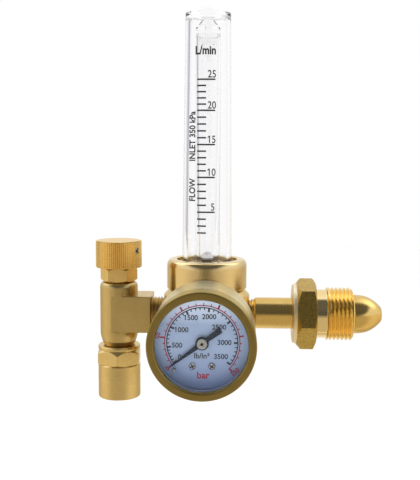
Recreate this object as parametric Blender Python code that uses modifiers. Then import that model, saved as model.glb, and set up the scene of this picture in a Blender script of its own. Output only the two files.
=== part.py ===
"""Flow regulator for shielding gas: a brass pressure regulator with a contents gauge,
a clear flow tube on top, a needle valve at the left and a cylinder connection at the right."""

import math

import bmesh
import bpy
from mathutils import Matrix, Vector

NAME = "gas_regulator"

# Clearances shared by all fits
SEAT_GAP = 0.0003
FIT = 0.0003
SEAL_GAP = 0.0002
OVERRUN = 0.002
HEX_CHAMFER = 0.0003

# Facets of the turned pieces
OUTER_STEPS = 32
INNER_STEPS = 20
SMALL_STEPS = 10
RING_CORD_SIDES = 6
WIRE_POINTS_PER_TURN = 9
DRILL_TURN = 7.0

# Regulator body, heights from the inlet axis
BODY_RADIUS = 0.0198
BODY_RISE = 0.0115
BODY_DROP = 0.0230
BODY_CHAMFER = 0.0027
COLLAR_RADIUS = 0.0184
COLLAR_HEIGHT = 0.0134
COLLAR_BORE = 0.0138
COLLAR_ROUND = 0.0024
SPIGOT_HEIGHT = 0.0035
CAVITY_RADIUS = 0.0040
CAVITY_RISE = 0.0030
CHAMBER_RADIUS = 0.0105
CHAMBER_DROP = 0.0093
PASSAGE_RADIUS = 0.0012
LOW_PASSAGE_OFFSET = 0.0080
LOW_PASSAGE_RISE = 0.0062
PLUG_LENGTH = 0.0040
PLUG_RADIUS = 0.0024

# Pressure stage inside the body
PISTON_THICKNESS = 0.0038
PISTON_HEADROOM = 0.0006
PISTON_TRAVEL = 0.0010
PISTON_RING_CORD = 0.0006
SEAT_LENGTH = 0.0030
SEAT_BORE = 0.0012
POPPET_RADIUS = 0.0028
POPPET_HEAD = 0.0020
POPPET_PIN_RADIUS = 0.0007
POPPET_SPRING_RADIUS = 0.0021
POPPET_SPRING_WIRE = 0.0005
POPPET_SPRING_TURNS = 4
MAIN_SPRING_RADIUS = 0.0074
MAIN_SPRING_WIRE = 0.0016
MAIN_SPRING_TURNS = 4
SPRING_SEAT_THICKNESS = 0.0010
CAP_WALL = 0.0021
CAP_THREAD_LENGTH = 0.0070
CAP_HEX_RADIUS = 0.0166
CAP_HEX_HEIGHT = 0.0050
CAP_FLOOR = 0.0020
CAP_RING_CORD = 0.0006

# Cylinder connection on the right, lengths from the body axis
NIPPLE_THREAD_RADIUS = 0.0064
NIPPLE_THREAD_DEPTH = 0.0078
PIPE_GAP = 0.0028
PIPE_RADIUS = 0.0072
PIPE_CHAMFER = 0.0008
NUT_SETBACK = 0.0187
NUT_HEX_RADIUS = 0.0165
NUT_HEX_LENGTH = 0.0089
NUT_HEX_TILT = 17.9
NUT_NECK_RADIUS = 0.0112
NUT_NECK_LENGTH = 0.0050
NUT_THREAD_RADIUS = 0.01225
NUT_THREAD_LENGTH = 0.0119
NUT_THREAD_CHAMFER = 0.0010
NOSE_RADIUS = 0.0090
NOSE_STRAIGHT = 0.0048
NOSE_TAPER = 0.0084
NOSE_END_RADIUS = 0.0032
NOSE_RINGS = 6
GAS_BORE_RADIUS = 0.0017
FILTER_RADIUS = 0.0033
FILTER_LENGTH = 0.0080

# Flow tube
COVER_FOOT_RADIUS = 0.0114
COVER_TOP_RADIUS = 0.0102
COVER_RISE = 0.1186
COVER_WALL = 0.0021
COVER_CROWN = 0.0042
COVER_CHAMFER = 0.0024
COVER_FLANGE_RADIUS = 0.0128
COVER_FLANGE_HEIGHT = 0.0020
COVER_RING_RADIUS = 0.0117
COVER_RING_CORD = 0.0007
GLAND_HEIGHT = 0.0036
TUBE_RADIUS = 0.0058
TUBE_FOOT_BORE = 0.0034
TUBE_TOP_BORE = 0.0046
STOP_HEIGHT = 0.0070
STOP_RADIUS = 0.0055
STOP_TIP_RADIUS = 0.0026
STOP_SPIGOT_LENGTH = 0.0040
STOP_SPIGOT_RADIUS = 0.0040
BASE_RADIUS = 0.0082
BASE_FLANGE = 0.0020
BASE_CUP_HEIGHT = 0.0042
BASE_THREAD_RADIUS = 0.0040
BASE_THREAD_LENGTH = 0.0055
NOZZLE_RADIUS = 0.0029
NOZZLE_HEIGHT = 0.0050
TUBE_RING_CORD = 0.0005
BALL_RADIUS = 0.00305

# Needle valve and outlet on the left
LINK_GAP = 0.0056
VALVE_RADIUS = 0.00875
VALVE_RISE = 0.0142
VALVE_DROP = 0.0133
VALVE_SHOULDER = 0.0018
BLOCK_HALF_WIDTH = 0.0084
BLOCK_RISE = 0.0083
BLOCK_DROP = 0.0085
BLOCK_REACH = 0.0156
LINK_THREAD_RADIUS = 0.0071
LINK_SPIGOT_RADIUS = 0.0062
LINK_SPIGOT_LENGTH = 0.0072
LINK_BODY_DEPTH = 0.0072
LINK_BORE = 0.0022
PACKING_HEX_RADIUS = 0.0086
PACKING_HEX_HEIGHT = 0.0063
PACKING_HEX_TURN = 2.5
PACKING_THREAD_RADIUS = 0.0060
PACKING_THREAD_LENGTH = 0.0052
PACKING_RING_HEIGHT = 0.0022
STEM_RADIUS = 0.0026
STEM_BORE = 0.0036
STEM_RING_CORD = 0.0005
STEM_RING_RISE = 0.0037
VALVE_SEAT_DROP = 0.0012
ORIFICE_RADIUS = 0.0014
NEEDLE_TIP_RADIUS = 0.0005
NEEDLE_LENGTH = 0.0040
KNOB_RADIUS = 0.0106
KNOB_HEIGHT = 0.0116
KNOB_CHAMFER = 0.0008
KNOB_CLEARANCE = 0.0010
KNOB_TOP_WALL = 0.0022
SET_SCREW_RADIUS = 0.0012
SET_SCREW_TURN = 62.0
SET_SCREW_DROP = 0.0044
OUTLET_SEAL_HEIGHT = 0.0017
OUTLET_COLLAR_RADIUS = 0.0098
OUTLET_COLLAR_HEIGHT = 0.0018
OUTLET_HEX_RADIUS = 0.01094
OUTLET_HEX_HEIGHT = 0.0072
OUTLET_HEX_TURN = 2.7
OUTLET_BARREL_RADIUS = 0.00985
OUTLET_BARREL_LENGTH = 0.0157
OUTLET_CHAMFER = 0.0008
OUTLET_SOCKET_RADIUS = 0.00725
OUTLET_SOCKET_DEPTH = 0.0140
OUTLET_THREAD_RADIUS = 0.0062
OUTLET_THREAD_LENGTH = 0.0080
OUTLET_BORE = 0.0025

# Contents gauge, depths from the back of its case
GAUGE_DROP = 0.0040
GAUGE_STANDOFF = 0.0032
SPOT_FACE_DEPTH = 0.0028
SPOT_FACE_RADIUS = 0.0095
STEM_HEX_RADIUS = 0.0081
STEM_THREAD_RADIUS = 0.0062
STEM_THREAD_LENGTH = 0.0048
STEM_FLANGE_RADIUS = 0.0122
STEM_FLANGE = 0.0025
STEM_BOSS_RADIUS = 0.0070
STEM_BOSS = 0.0059
ARM_HALF_WIDTH = 0.0029
CASE_RADIUS = 0.0220
CASE_WALL = 0.0020
CASE_EDGE = 0.0012
CASE_THREAD_STEP = 0.0009
CASE_THREAD_LENGTH = 0.0035
BEZEL_STEP = 0.0004
BEZEL_LENGTH = 0.0095
BEZEL_LIP = 0.0027
BEZEL_EDGE = 0.0008
BEZEL_FACE = 0.0034
GASKET_THICKNESS = 0.0013
GASKET_WIDTH = 0.0018
LENS_THICKNESS = 0.0020
DIAL_THICKNESS = 0.0006
DIAL_SCREW_SPACING = 0.0080
DIAL_SCREW_DROP = 0.0098
DIAL_SCREW_RADIUS = 0.0007
DIAL_SCREW_HEAD = 0.0014
DIAL_SCREW_HEAD_HEIGHT = 0.0006
CASE_SCREW_OFFSET = 0.0104
CASE_SCREW_RADIUS = 0.0008
CASE_SCREW_HEAD = 0.0015
CASE_SCREW_HEAD_HEIGHT = 0.0010
STOP_PIN_RADIUS = 0.0006
STOP_PIN_HEIGHT = 0.0024
STOP_PIN_REACH = 0.0160
STOP_PIN_ANGLE = 224.3
POINTER_ZERO = 217.0
POINTER_SWEEP = 252.0
POINTER_REACH = 0.0163
POINTER_TAIL = 0.0095
POINTER_TAIL_HALF = 0.0011
POINTER_ROOT_HALF = 0.0007
POINTER_TIP_HALF = 0.00015
POINTER_EYE = 0.0018
POINTER_THICKNESS = 0.0004
POINTER_LIFT = 0.0013
HUB_RADIUS = 0.0020
HUB_HEIGHT = 0.0012
HUB_CLEARANCE = 0.0005
ARBOR_RADIUS = 0.0006
PLATE_THICKNESS = 0.0012
PLATE_HALF_WIDTH = 0.0072
PLATE_MARGIN = 0.0030
PILLAR_LENGTH = 0.0058
PILLAR_RADIUS = 0.0012
PILLAR_SPACING = 0.0104
PILLAR_DROP = 0.0030
PINION_TEETH = 12
SECTOR_TEETH = 72
SECTOR_CUT_TEETH = 15
SECTOR_TAIL = 0.0040
SECTOR_TAIL_END = 0.0012
SECTOR_HUB = 0.0018
SECTOR_LEVEL = 0.0031
SECTOR_THICKNESS = 0.0008
PINION_EXTRA = 0.0005
PRESSURE_ANGLE = 20.0
TOOTH_ADDENDUM = 0.8
TOOTH_DEDENDUM = 1.15
TOOTH_BACKLASH = 0.25
LINK_LEVEL = 0.0017
LINK_THICKNESS = 0.0006
LINK_HALF_WIDTH = 0.0016
LINK_PIN_RADIUS = 0.0005
BOURDON_ROOM = 0.0025
BOURDON_HALF_WIDTH = 0.0013
BOURDON_HALF_HEIGHT = 0.0026
BOURDON_TIP_ANGLE = 62.4
BOURDON_POINTS = 24
TIP_POST_RADIUS = 0.0017
HAIRSPRING_LEVEL = 0.0009
HAIRSPRING_INNER = 0.0014
HAIRSPRING_OUTER = 0.0040
HAIRSPRING_TURNS = 3
HAIRSPRING_WIRE = 0.0003

# Heights and lengths that follow from the sizes above
PIPE_START = BODY_RADIUS + PIPE_GAP
NUT_START = PIPE_START + NUT_SETBACK
NUT_END = NUT_START + NUT_HEX_LENGTH + NUT_NECK_LENGTH + NUT_THREAD_LENGTH
NOSE_START = NUT_END + SEAT_GAP
INLET_REACH = NOSE_START + NOSE_STRAIGHT + NOSE_TAPER
SPIGOT_TOP = BODY_RISE + SPIGOT_HEIGHT
COLLAR_TOP = BODY_RISE + SEAT_GAP + COLLAR_HEIGHT
SPIGOT_RADIUS = COLLAR_BORE - FIT
PISTON_RADIUS = CHAMBER_RADIUS - FIT
PISTON_TOP = -CHAMBER_DROP - PISTON_HEADROOM
PISTON_BOTTOM = PISTON_TOP - PISTON_THICKNESS
SEAT_TOP = -CHAMBER_DROP + SEAT_LENGTH
POPPET_BOTTOM = SEAT_TOP + PISTON_TRAVEL
POPPET_TOP = POPPET_BOTTOM + POPPET_HEAD
CAP_BORE = CHAMBER_RADIUS + FIT
CAP_THREAD_RADIUS = CAP_BORE + CAP_WALL
CAP_TOP = -BODY_DROP - SEAT_GAP
CAP_BOTTOM = CAP_TOP - CAP_HEX_HEIGHT
SPRING_SEAT_TOP = CAP_BOTTOM + CAP_FLOOR + SEAT_GAP + SPRING_SEAT_THICKNESS
COVER_BOTTOM = SPIGOT_TOP + 2 * COVER_RING_CORD + 2 * SEAL_GAP
COVER_FLANGE_TOP = COVER_BOTTOM + COVER_FLANGE_HEIGHT
COVER_TOP = COVER_FLANGE_TOP + COVER_RISE
BASE_BOTTOM = SPIGOT_TOP + SEAT_GAP
BASE_FLOOR = BASE_BOTTOM + BASE_FLANGE
TUBE_BOTTOM = BASE_FLOOR + 2 * TUBE_RING_CORD + 2 * SEAL_GAP
STOP_TOP = COVER_TOP - COVER_CROWN - SEAT_GAP
STOP_BOTTOM = STOP_TOP - STOP_HEIGHT
TUBE_TOP = STOP_BOTTOM - SEAT_GAP
BALL_REST = BASE_FLOOR + NOZZLE_HEIGHT + SEAT_GAP + BALL_RADIUS
VALVE_OFFSET = BODY_RADIUS + LINK_GAP + BLOCK_REACH
BLOCK_RIGHT = -VALVE_OFFSET + BLOCK_REACH
PACKING_BOTTOM = VALVE_RISE + SEAT_GAP
PACKING_TOP = PACKING_BOTTOM + PACKING_HEX_HEIGHT
PACKING_THREAD_END = PACKING_BOTTOM - PACKING_THREAD_LENGTH
PACKING_SEAT = PACKING_THREAD_END - PACKING_RING_HEIGHT - 2 * SEAT_GAP
KNOB_BOTTOM = PACKING_TOP + KNOB_CLEARANCE
KNOB_TOP = KNOB_BOTTOM + KNOB_HEIGHT
STEM_TOP = KNOB_TOP - KNOB_TOP_WALL - SEAT_GAP
OUTLET_TOP = -VALVE_DROP - OUTLET_SEAL_HEIGHT - 2 * SEAT_GAP
OUTLET_HEX_TOP = OUTLET_TOP - OUTLET_COLLAR_HEIGHT
OUTLET_HEX_BOTTOM = OUTLET_HEX_TOP - OUTLET_HEX_HEIGHT
OUTLET_END = OUTLET_HEX_BOTTOM - OUTLET_BARREL_LENGTH
SPOT_FACE = BODY_RADIUS - SPOT_FACE_DEPTH
CASE_BACK = BODY_RADIUS + GAUGE_STANDOFF
CASE_BORE = CASE_RADIUS - CASE_WALL
CASE_THREAD_RADIUS = CASE_RADIUS - CASE_THREAD_STEP
BEZEL_RADIUS = CASE_RADIUS + BEZEL_STEP
DIAL_OPENING = BEZEL_RADIUS - BEZEL_FACE
FLANGE_BACK = CASE_WALL + SEAT_GAP
FLANGE_FRONT = FLANGE_BACK + STEM_FLANGE
BOSS_FRONT = FLANGE_FRONT + STEM_BOSS
BACK_PLATE = BOSS_FRONT + SEAT_GAP
BACK_PLATE_FRONT = BACK_PLATE + PLATE_THICKNESS
PILLAR_BACK = BACK_PLATE_FRONT + SEAT_GAP
FRONT_PLATE = PILLAR_BACK + PILLAR_LENGTH + SEAT_GAP
FRONT_PLATE_FRONT = FRONT_PLATE + PLATE_THICKNESS
DIAL_BACK = FRONT_PLATE_FRONT + SEAT_GAP
DIAL_FRONT = DIAL_BACK + DIAL_THICKNESS
DIAL_RADIUS = CASE_BORE - FIT
POINTER_BACK = DIAL_FRONT + POINTER_LIFT
POINTER_FRONT = POINTER_BACK + POINTER_THICKNESS
HUB_BACK = POINTER_FRONT + SEAT_GAP
LENS_BACK = HUB_BACK + HUB_HEIGHT + HUB_CLEARANCE
CASE_DEPTH = LENS_BACK - GASKET_THICKNESS - 2 * SEAT_GAP
GASKET_BACK = CASE_DEPTH + SEAT_GAP
BEZEL_SEAT = LENS_BACK + LENS_THICKNESS + SEAT_GAP
BEZEL_FRONT = BEZEL_SEAT + BEZEL_LIP
BEZEL_BACK = BEZEL_FRONT - BEZEL_LENGTH
BEZEL_BORE = CASE_THREAD_RADIUS + FIT
PIN_HOLE = ARBOR_RADIUS + FIT
GEAR_RATIO = SECTOR_TEETH / PINION_TEETH
SECTOR_SWING = POINTER_SWEEP / GEAR_RATIO
HALF_SWING = math.radians(SECTOR_SWING / 2)
BOURDON_RADIUS = CASE_BORE - BOURDON_ROOM - BOURDON_HALF_WIDTH
TIP_ACROSS = BOURDON_RADIUS * math.cos(math.radians(BOURDON_TIP_ANGLE))
TIP_RISE = BOURDON_RADIUS * math.sin(math.radians(BOURDON_TIP_ANGLE))
PIVOT_RISE = TIP_RISE - SECTOR_TAIL * (1 + math.cos(HALF_SWING)) / 2
MODULE = 2 * PIVOT_RISE / (PINION_TEETH + SECTOR_TEETH)
BOURDON_LEVEL = FLANGE_FRONT + BOURDON_HALF_HEIGHT + SEAT_GAP

UP = Matrix.Identity(4)
RIGHT = Matrix.Rotation(math.pi / 2, 4, "Y")
FRONT = Matrix.Rotation(math.pi / 2, 4, "X")

BRASS = ((0.72, 0.47, 0.16), 0.28, 1.0)
STEEL = ((0.62, 0.63, 0.65), 0.25, 1.0)
RUBBER = ((0.02, 0.02, 0.02), 0.7, 0.0)
CLEAR = ((0.86, 0.88, 0.90), 0.06, 0.0)
WHITE = ((0.80, 0.81, 0.90), 0.45, 0.0)
BLACK = ((0.02, 0.02, 0.02), 0.4, 0.0)
BRONZE = ((0.45, 0.30, 0.15), 0.6, 1.0)
ALUMINIUM = ((0.75, 0.76, 0.78), 0.3, 1.0)
NYLON = ((0.85, 0.84, 0.80), 0.5, 0.0)

parts = None
cutters = None
root = None


def clear_scene():
    for obj in list(bpy.data.objects):
        bpy.data.objects.remove(obj, do_unlink=True)


def make_collection(name):
    collection = bpy.data.collections.new(name)
    bpy.context.scene.collection.children.link(collection)
    return collection


def make_material(name, finish):
    colour, roughness, metallic = finish
    material = bpy.data.materials.new(name)
    material.use_nodes = True
    shader = material.node_tree.nodes["Principled BSDF"]
    shader.inputs["Base Color"].default_value = (*colour, 1.0)
    shader.inputs["Roughness"].default_value = roughness
    shader.inputs["Metallic"].default_value = metallic
    material.diffuse_color = (*colour, 1.0)
    return material


def place(obj, finish, at, facing, turn):
    """Put a part or, with no finish, a cutter at its place under the root."""
    if finish is None:
        cutters.objects.link(obj)
        obj.hide_render = True
        obj.display_type = "WIRE"
    else:
        parts.objects.link(obj)
        obj.data.materials.append(make_material(obj.name, finish))
    obj.parent = root
    obj.location = at
    obj.rotation_euler = (facing @ Matrix.Rotation(math.radians(turn), 4, "Z")).to_euler()
    return obj


def turned(name, profile, finish=None, at=(0, 0, 0), facing=UP, steps=INNER_STEPS, turn=0.0, ring=False):
    """A turned piece from (radius, height) points that run down its outer side."""
    mesh = bpy.data.meshes.new(name)
    count = len(profile)
    edges = [(index, index + 1) for index in range(count - 1)]
    if ring:
        edges.append((count - 1, 0))
    mesh.from_pydata([(radius, 0.0, height) for radius, height in profile], edges, [])
    obj = place(bpy.data.objects.new(name, mesh), finish, at, facing, turn)
    screw = obj.modifiers.new("turn", "SCREW")
    screw.steps = steps
    screw.render_steps = steps
    screw.use_merge_vertices = True
    screw.merge_threshold = 0.00001
    return obj


def drum(name, radius, low, high, finish=None, **where):
    return turned(name, [(0, high), (radius, high), (radius, low), (0, low)], finish, **where)


def tube(name, outer, inner, low, high, finish=None, **where):
    profile = [(outer, high), (outer, low), (inner, low), (inner, high)]
    return turned(name, profile, finish, ring=True, **where)


def seal_ring(name, radius, cord, height, finish=RUBBER, **where):
    """A round-section ring whose centre circle has the given radius."""
    steps = [-2 * math.pi * index / RING_CORD_SIDES for index in range(RING_CORD_SIDES)]
    profile = [(radius + cord * math.cos(a), height + cord * math.sin(a)) for a in steps]
    return turned(name, profile, finish, ring=True, **where)


def box(name, low, high, finish=None, facing=UP, at=(0, 0, 0)):
    mesh = bpy.data.meshes.new(name)
    shape = bmesh.new()
    bmesh.ops.create_cube(shape, size=1.0)
    size = Vector(high) - Vector(low)
    centre = (Vector(high) + Vector(low)) / 2
    bmesh.ops.scale(shape, vec=size, verts=shape.verts)
    bmesh.ops.translate(shape, vec=centre, verts=shape.verts)
    shape.to_mesh(mesh)
    shape.free()
    return place(bpy.data.objects.new(name, mesh), finish, at, facing, 0.0)


def combine(obj, other, operation):
    step = obj.modifiers.new(other.name, "BOOLEAN")
    step.object = other
    step.operation = operation
    step.solver = "EXACT"
    return obj


def cut(obj, *tools):
    for tool in tools:
        combine(obj, tool, "DIFFERENCE")
    return obj


def join(obj, *others):
    for other in others:
        combine(obj, other, "UNION")
    return obj


def hexagon(name, corner, low, high, finish=None, chamfer=0.0, **where):
    """A hexagonal piece whose corners are chamfered at both ends."""
    obj = drum(name, corner, low, high, finish, steps=6, **where)
    if chamfer:
        flat = corner * math.cos(math.pi / 6)
        rim = corner + chamfer
        middle = (low + high) / 2
        half = (high - low) / 2
        slope = (rim - flat) * math.tan(math.radians(30))
        profile = [(0, middle + half + slope / 4), (flat - slope, middle + half + slope / 4)]
        profile.append((rim, middle + half - slope))
        profile.extend([(rim, middle - half + slope), (flat - slope, middle - half - slope / 4)])
        profile.append((0, middle - half - slope / 4))
        combine(obj, turned(name + "_chamfer", profile, **where), "INTERSECT")
    return obj


def wire(name, points, thickness, finish, sides=1, **where):
    """An unbroken round wire through the given points."""
    curve = bpy.data.curves.new(name, "CURVE")
    curve.dimensions = "3D"
    curve.bevel_depth = thickness / 2
    curve.bevel_resolution = sides
    curve.use_fill_caps = True
    spline = curve.splines.new("POLY")
    spline.points.add(len(points) - 1)
    for point, position in zip(spline.points, points):
        point.co = (*position, 1.0)
    return place(bpy.data.objects.new(name, curve), finish, **where)


def plate(name, outlines, back, front, finish, facing=FRONT, at=(0, 0, 0), turn=0.0):
    """A flat piece from a closed outline followed by the outlines of its holes, as a mesh."""
    curve = bpy.data.curves.new(name + "_outline", "CURVE")
    curve.dimensions = "2D"
    curve.fill_mode = "BOTH"
    curve.extrude = (front - back) / 2
    for outline in outlines:
        spline = curve.splines.new("POLY")
        spline.use_cyclic_u = True
        spline.points.add(len(outline) - 1)
        for point, (across, up) in zip(spline.points, outline):
            point.co = (across, up, 0.0, 1.0)
    drawn = bpy.data.objects.new(name + "_outline", curve)
    bpy.context.scene.collection.objects.link(drawn)
    graph = bpy.context.evaluated_depsgraph_get()
    mesh = bpy.data.meshes.new_from_object(drawn.evaluated_get(graph))
    bpy.data.objects.remove(drawn)
    shape = bmesh.new()
    shape.from_mesh(mesh)
    bmesh.ops.translate(shape, vec=(0, 0, (front + back) / 2), verts=shape.verts)
    bmesh.ops.remove_doubles(shape, verts=shape.verts, dist=0.000001)
    bmesh.ops.recalc_face_normals(shape, faces=shape.faces)
    shape.to_mesh(mesh)
    shape.free()
    return place(bpy.data.objects.new(name, mesh), finish, at, facing, turn)


def circle(radius, centre=(0, 0), count=SMALL_STEPS):
    turns = [2 * math.pi * index / count for index in range(count)]
    return [(centre[0] + radius * math.cos(a), centre[1] + radius * math.sin(a)) for a in turns]


def arc(radius, start, end, centre=(0, 0), count=8):
    """Points on an arc between two angles in degrees."""
    points = []
    for index in range(count + 1):
        angle = math.radians(start + (end - start) * index / count)
        points.append((centre[0] + radius * math.cos(angle), centre[1] + radius * math.sin(angle)))
    return points


def helix(radius, wire_size, low, high, turns):
    """Points of a spring whose wire lies between two heights."""
    count = turns * WIRE_POINTS_PER_TURN
    start = low + wire_size / 2
    rise = high - low - wire_size
    points = []
    for index in range(count + 1):
        angle = 2 * math.pi * index / WIRE_POINTS_PER_TURN
        points.append((radius * math.cos(angle), radius * math.sin(angle), start + rise * index / count))
    return points


def spiral(inner, outer, turns):
    count = turns * WIRE_POINTS_PER_TURN
    points = []
    for index in range(count + 1):
        angle = 2 * math.pi * index / WIRE_POINTS_PER_TURN
        radius = inner + (outer - inner) * index / count
        points.append((radius * math.cos(angle), radius * math.sin(angle), 0.0))
    return points


def print_self_gap(name, points, wire_size):
    """Measure how near a wound wire comes to its own next turn."""
    apart = WIRE_POINTS_PER_TURN - 2
    least = min(
        (Vector(points[first]) - Vector(points[second])).length
        for first in range(len(points))
        for second in range(first + apart, len(points))
    )
    print(name, "least gap to itself", round((least - wire_size) * 1000, 2), "mm")


def make_body():
    top = BODY_RISE
    profile = [(0, SPIGOT_TOP), (SPIGOT_RADIUS, SPIGOT_TOP), (SPIGOT_RADIUS, top)]
    profile.extend([(BODY_RADIUS - BODY_CHAMFER, top), (BODY_RADIUS, top - BODY_CHAMFER)])
    profile.extend([(BODY_RADIUS, -BODY_DROP), (0, -BODY_DROP)])
    body = turned("regulator_body", profile, BRASS, steps=OUTER_STEPS)
    cap_bore = CAP_THREAD_RADIUS + FIT
    cap_depth = CAP_TOP + CAP_THREAD_LENGTH + SEAT_GAP
    chamber = [(0, CAVITY_RISE), (CAVITY_RADIUS, CAVITY_RISE), (CAVITY_RADIUS, -CHAMBER_DROP)]
    chamber.extend([(CHAMBER_RADIUS, -CHAMBER_DROP), (CHAMBER_RADIUS, cap_depth), (cap_bore, cap_depth)])
    chamber.extend([(cap_bore, -BODY_DROP - OVERRUN), (0, -BODY_DROP - OVERRUN)])
    inlet_floor = PIPE_START - PIPE_CHAMFER - NIPPLE_THREAD_DEPTH
    reach = BODY_RADIUS + OVERRUN
    inlet = [(0, reach), (NIPPLE_THREAD_RADIUS + FIT, reach), (NIPPLE_THREAD_RADIUS + FIT, inlet_floor)]
    inlet.extend([(GAS_BORE_RADIUS, inlet_floor), (GAS_BORE_RADIUS, 0), (0, 0)])
    outlet_floor = BODY_RADIUS - LINK_BODY_DEPTH
    outlet = [(0, -LOW_PASSAGE_OFFSET), (LINK_BORE, -LOW_PASSAGE_OFFSET), (LINK_BORE, -outlet_floor)]
    outlet.extend([(LINK_THREAD_RADIUS + FIT, -outlet_floor), (LINK_THREAD_RADIUS + FIT, -reach)])
    outlet.append((0, -reach))
    stem_floor = SPOT_FACE - STEM_THREAD_LENGTH - SEAT_GAP
    gauge = [(0, reach), (SPOT_FACE_RADIUS, reach), (SPOT_FACE_RADIUS, SPOT_FACE)]
    gauge.extend([(STEM_THREAD_RADIUS + FIT, SPOT_FACE), (STEM_THREAD_RADIUS + FIT, stem_floor)])
    gauge.extend([(PASSAGE_RADIUS, stem_floor), (PASSAGE_RADIUS, 0), (0, 0)])
    base_floor = SPIGOT_TOP - BASE_THREAD_LENGTH
    base = [(0, SPIGOT_TOP + OVERRUN), (BASE_THREAD_RADIUS + FIT, SPIGOT_TOP + OVERRUN)]
    base.extend([(BASE_THREAD_RADIUS + FIT, base_floor), (PASSAGE_RADIUS, base_floor)])
    past = PASSAGE_RADIUS / 3
    base.extend([(PASSAGE_RADIUS, LOW_PASSAGE_RISE - past), (0, LOW_PASSAGE_RISE - past)])
    cut(
        body,
        turned("chamber_bore", chamber, steps=INNER_STEPS),
        turned("inlet_bore", inlet, facing=RIGHT),
        turned("outlet_bore", outlet, facing=RIGHT),
        turned("gauge_bore", gauge, at=(0, 0, -GAUGE_DROP), facing=FRONT),
        turned("base_bore", base),
        drum("low_pressure_riser", PASSAGE_RADIUS, -CHAMBER_DROP - OVERRUN / 2, LOW_PASSAGE_RISE + past,
             at=(0, LOW_PASSAGE_OFFSET, 0), steps=SMALL_STEPS, turn=DRILL_TURN),
        drum("low_pressure_cross", PASSAGE_RADIUS, -reach, past, at=(0, 0, LOW_PASSAGE_RISE),
             facing=FRONT, steps=SMALL_STEPS, turn=DRILL_TURN),
        drum("plug_bore", PLUG_RADIUS + FIT, -reach, -BODY_RADIUS + PLUG_LENGTH, facing=FRONT,
             at=(0, 0, LOW_PASSAGE_RISE), steps=SMALL_STEPS),
        drum("return_passage", PASSAGE_RADIUS, -past, SPIGOT_TOP + OVERRUN,
             at=(-BASE_RADIUS - PASSAGE_RADIUS, 0, 0), steps=SMALL_STEPS, turn=DRILL_TURN),
    )
    plug_face = -math.sqrt(BODY_RADIUS ** 2 - PLUG_RADIUS ** 2)
    drum("passage_plug", PLUG_RADIUS, plug_face, -BODY_RADIUS + PLUG_LENGTH - SEAT_GAP, BRASS,
         at=(0, 0, LOW_PASSAGE_RISE), facing=FRONT, steps=SMALL_STEPS)


def make_collar():
    bottom = BODY_RISE + SEAT_GAP
    crown = [(COLLAR_BORE, COLLAR_TOP)]
    centre = (COLLAR_RADIUS - COLLAR_ROUND, COLLAR_TOP - COLLAR_ROUND)
    crown.extend(arc(COLLAR_ROUND, 90, 0, centre, 4))
    crown.extend([(COLLAR_RADIUS, bottom), (COLLAR_BORE, bottom)])
    turned("tube_socket", crown, BRASS, steps=OUTER_STEPS, ring=True)


def make_pressure_stage():
    groove = PISTON_RADIUS - 2 * PISTON_RING_CORD
    middle = PISTON_TOP - PISTON_THICKNESS / 2
    half = PISTON_RING_CORD + SEAL_GAP
    profile = [(0, PISTON_TOP), (PISTON_RADIUS, PISTON_TOP), (PISTON_RADIUS, middle + half)]
    profile.extend([(groove, middle + half), (groove, middle - half), (PISTON_RADIUS, middle - half)])
    profile.extend([(PISTON_RADIUS, PISTON_BOTTOM), (0, PISTON_BOTTOM)])
    turned("piston", profile, BRASS)
    seal_ring("piston_o_ring", CHAMBER_RADIUS - SEAL_GAP - PISTON_RING_CORD, PISTON_RING_CORD, middle)
    tube("valve_seat", CAVITY_RADIUS - FIT, SEAT_BORE, -CHAMBER_DROP, SEAT_TOP, NYLON)
    pin_end = PISTON_TOP + SEAT_GAP
    poppet = [(0, POPPET_TOP), (POPPET_RADIUS, POPPET_TOP), (POPPET_RADIUS, POPPET_BOTTOM)]
    poppet.extend([(POPPET_PIN_RADIUS, POPPET_BOTTOM), (POPPET_PIN_RADIUS, pin_end), (0, pin_end)])
    turned("poppet", poppet, BRASS, steps=SMALL_STEPS)
    low = POPPET_TOP + SEAT_GAP
    points = helix(POPPET_SPRING_RADIUS, POPPET_SPRING_WIRE, low, CAVITY_RISE - SEAT_GAP,
                   POPPET_SPRING_TURNS)
    wire("poppet_spring", points, POPPET_SPRING_WIRE, STEEL, at=(0, 0, 0), facing=UP, turn=0.0)
    print_self_gap("poppet_spring", points, POPPET_SPRING_WIRE)
    low = SPRING_SEAT_TOP + SEAT_GAP
    points = helix(MAIN_SPRING_RADIUS, MAIN_SPRING_WIRE, low, PISTON_BOTTOM - SEAT_GAP, MAIN_SPRING_TURNS)
    wire("main_spring", points, MAIN_SPRING_WIRE, STEEL, at=(0, 0, 0), facing=UP, turn=0.0)
    print_self_gap("main_spring", points, MAIN_SPRING_WIRE)
    drum("spring_seat", CAP_BORE - FIT, SPRING_SEAT_TOP - SPRING_SEAT_THICKNESS, SPRING_SEAT_TOP, STEEL)


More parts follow.
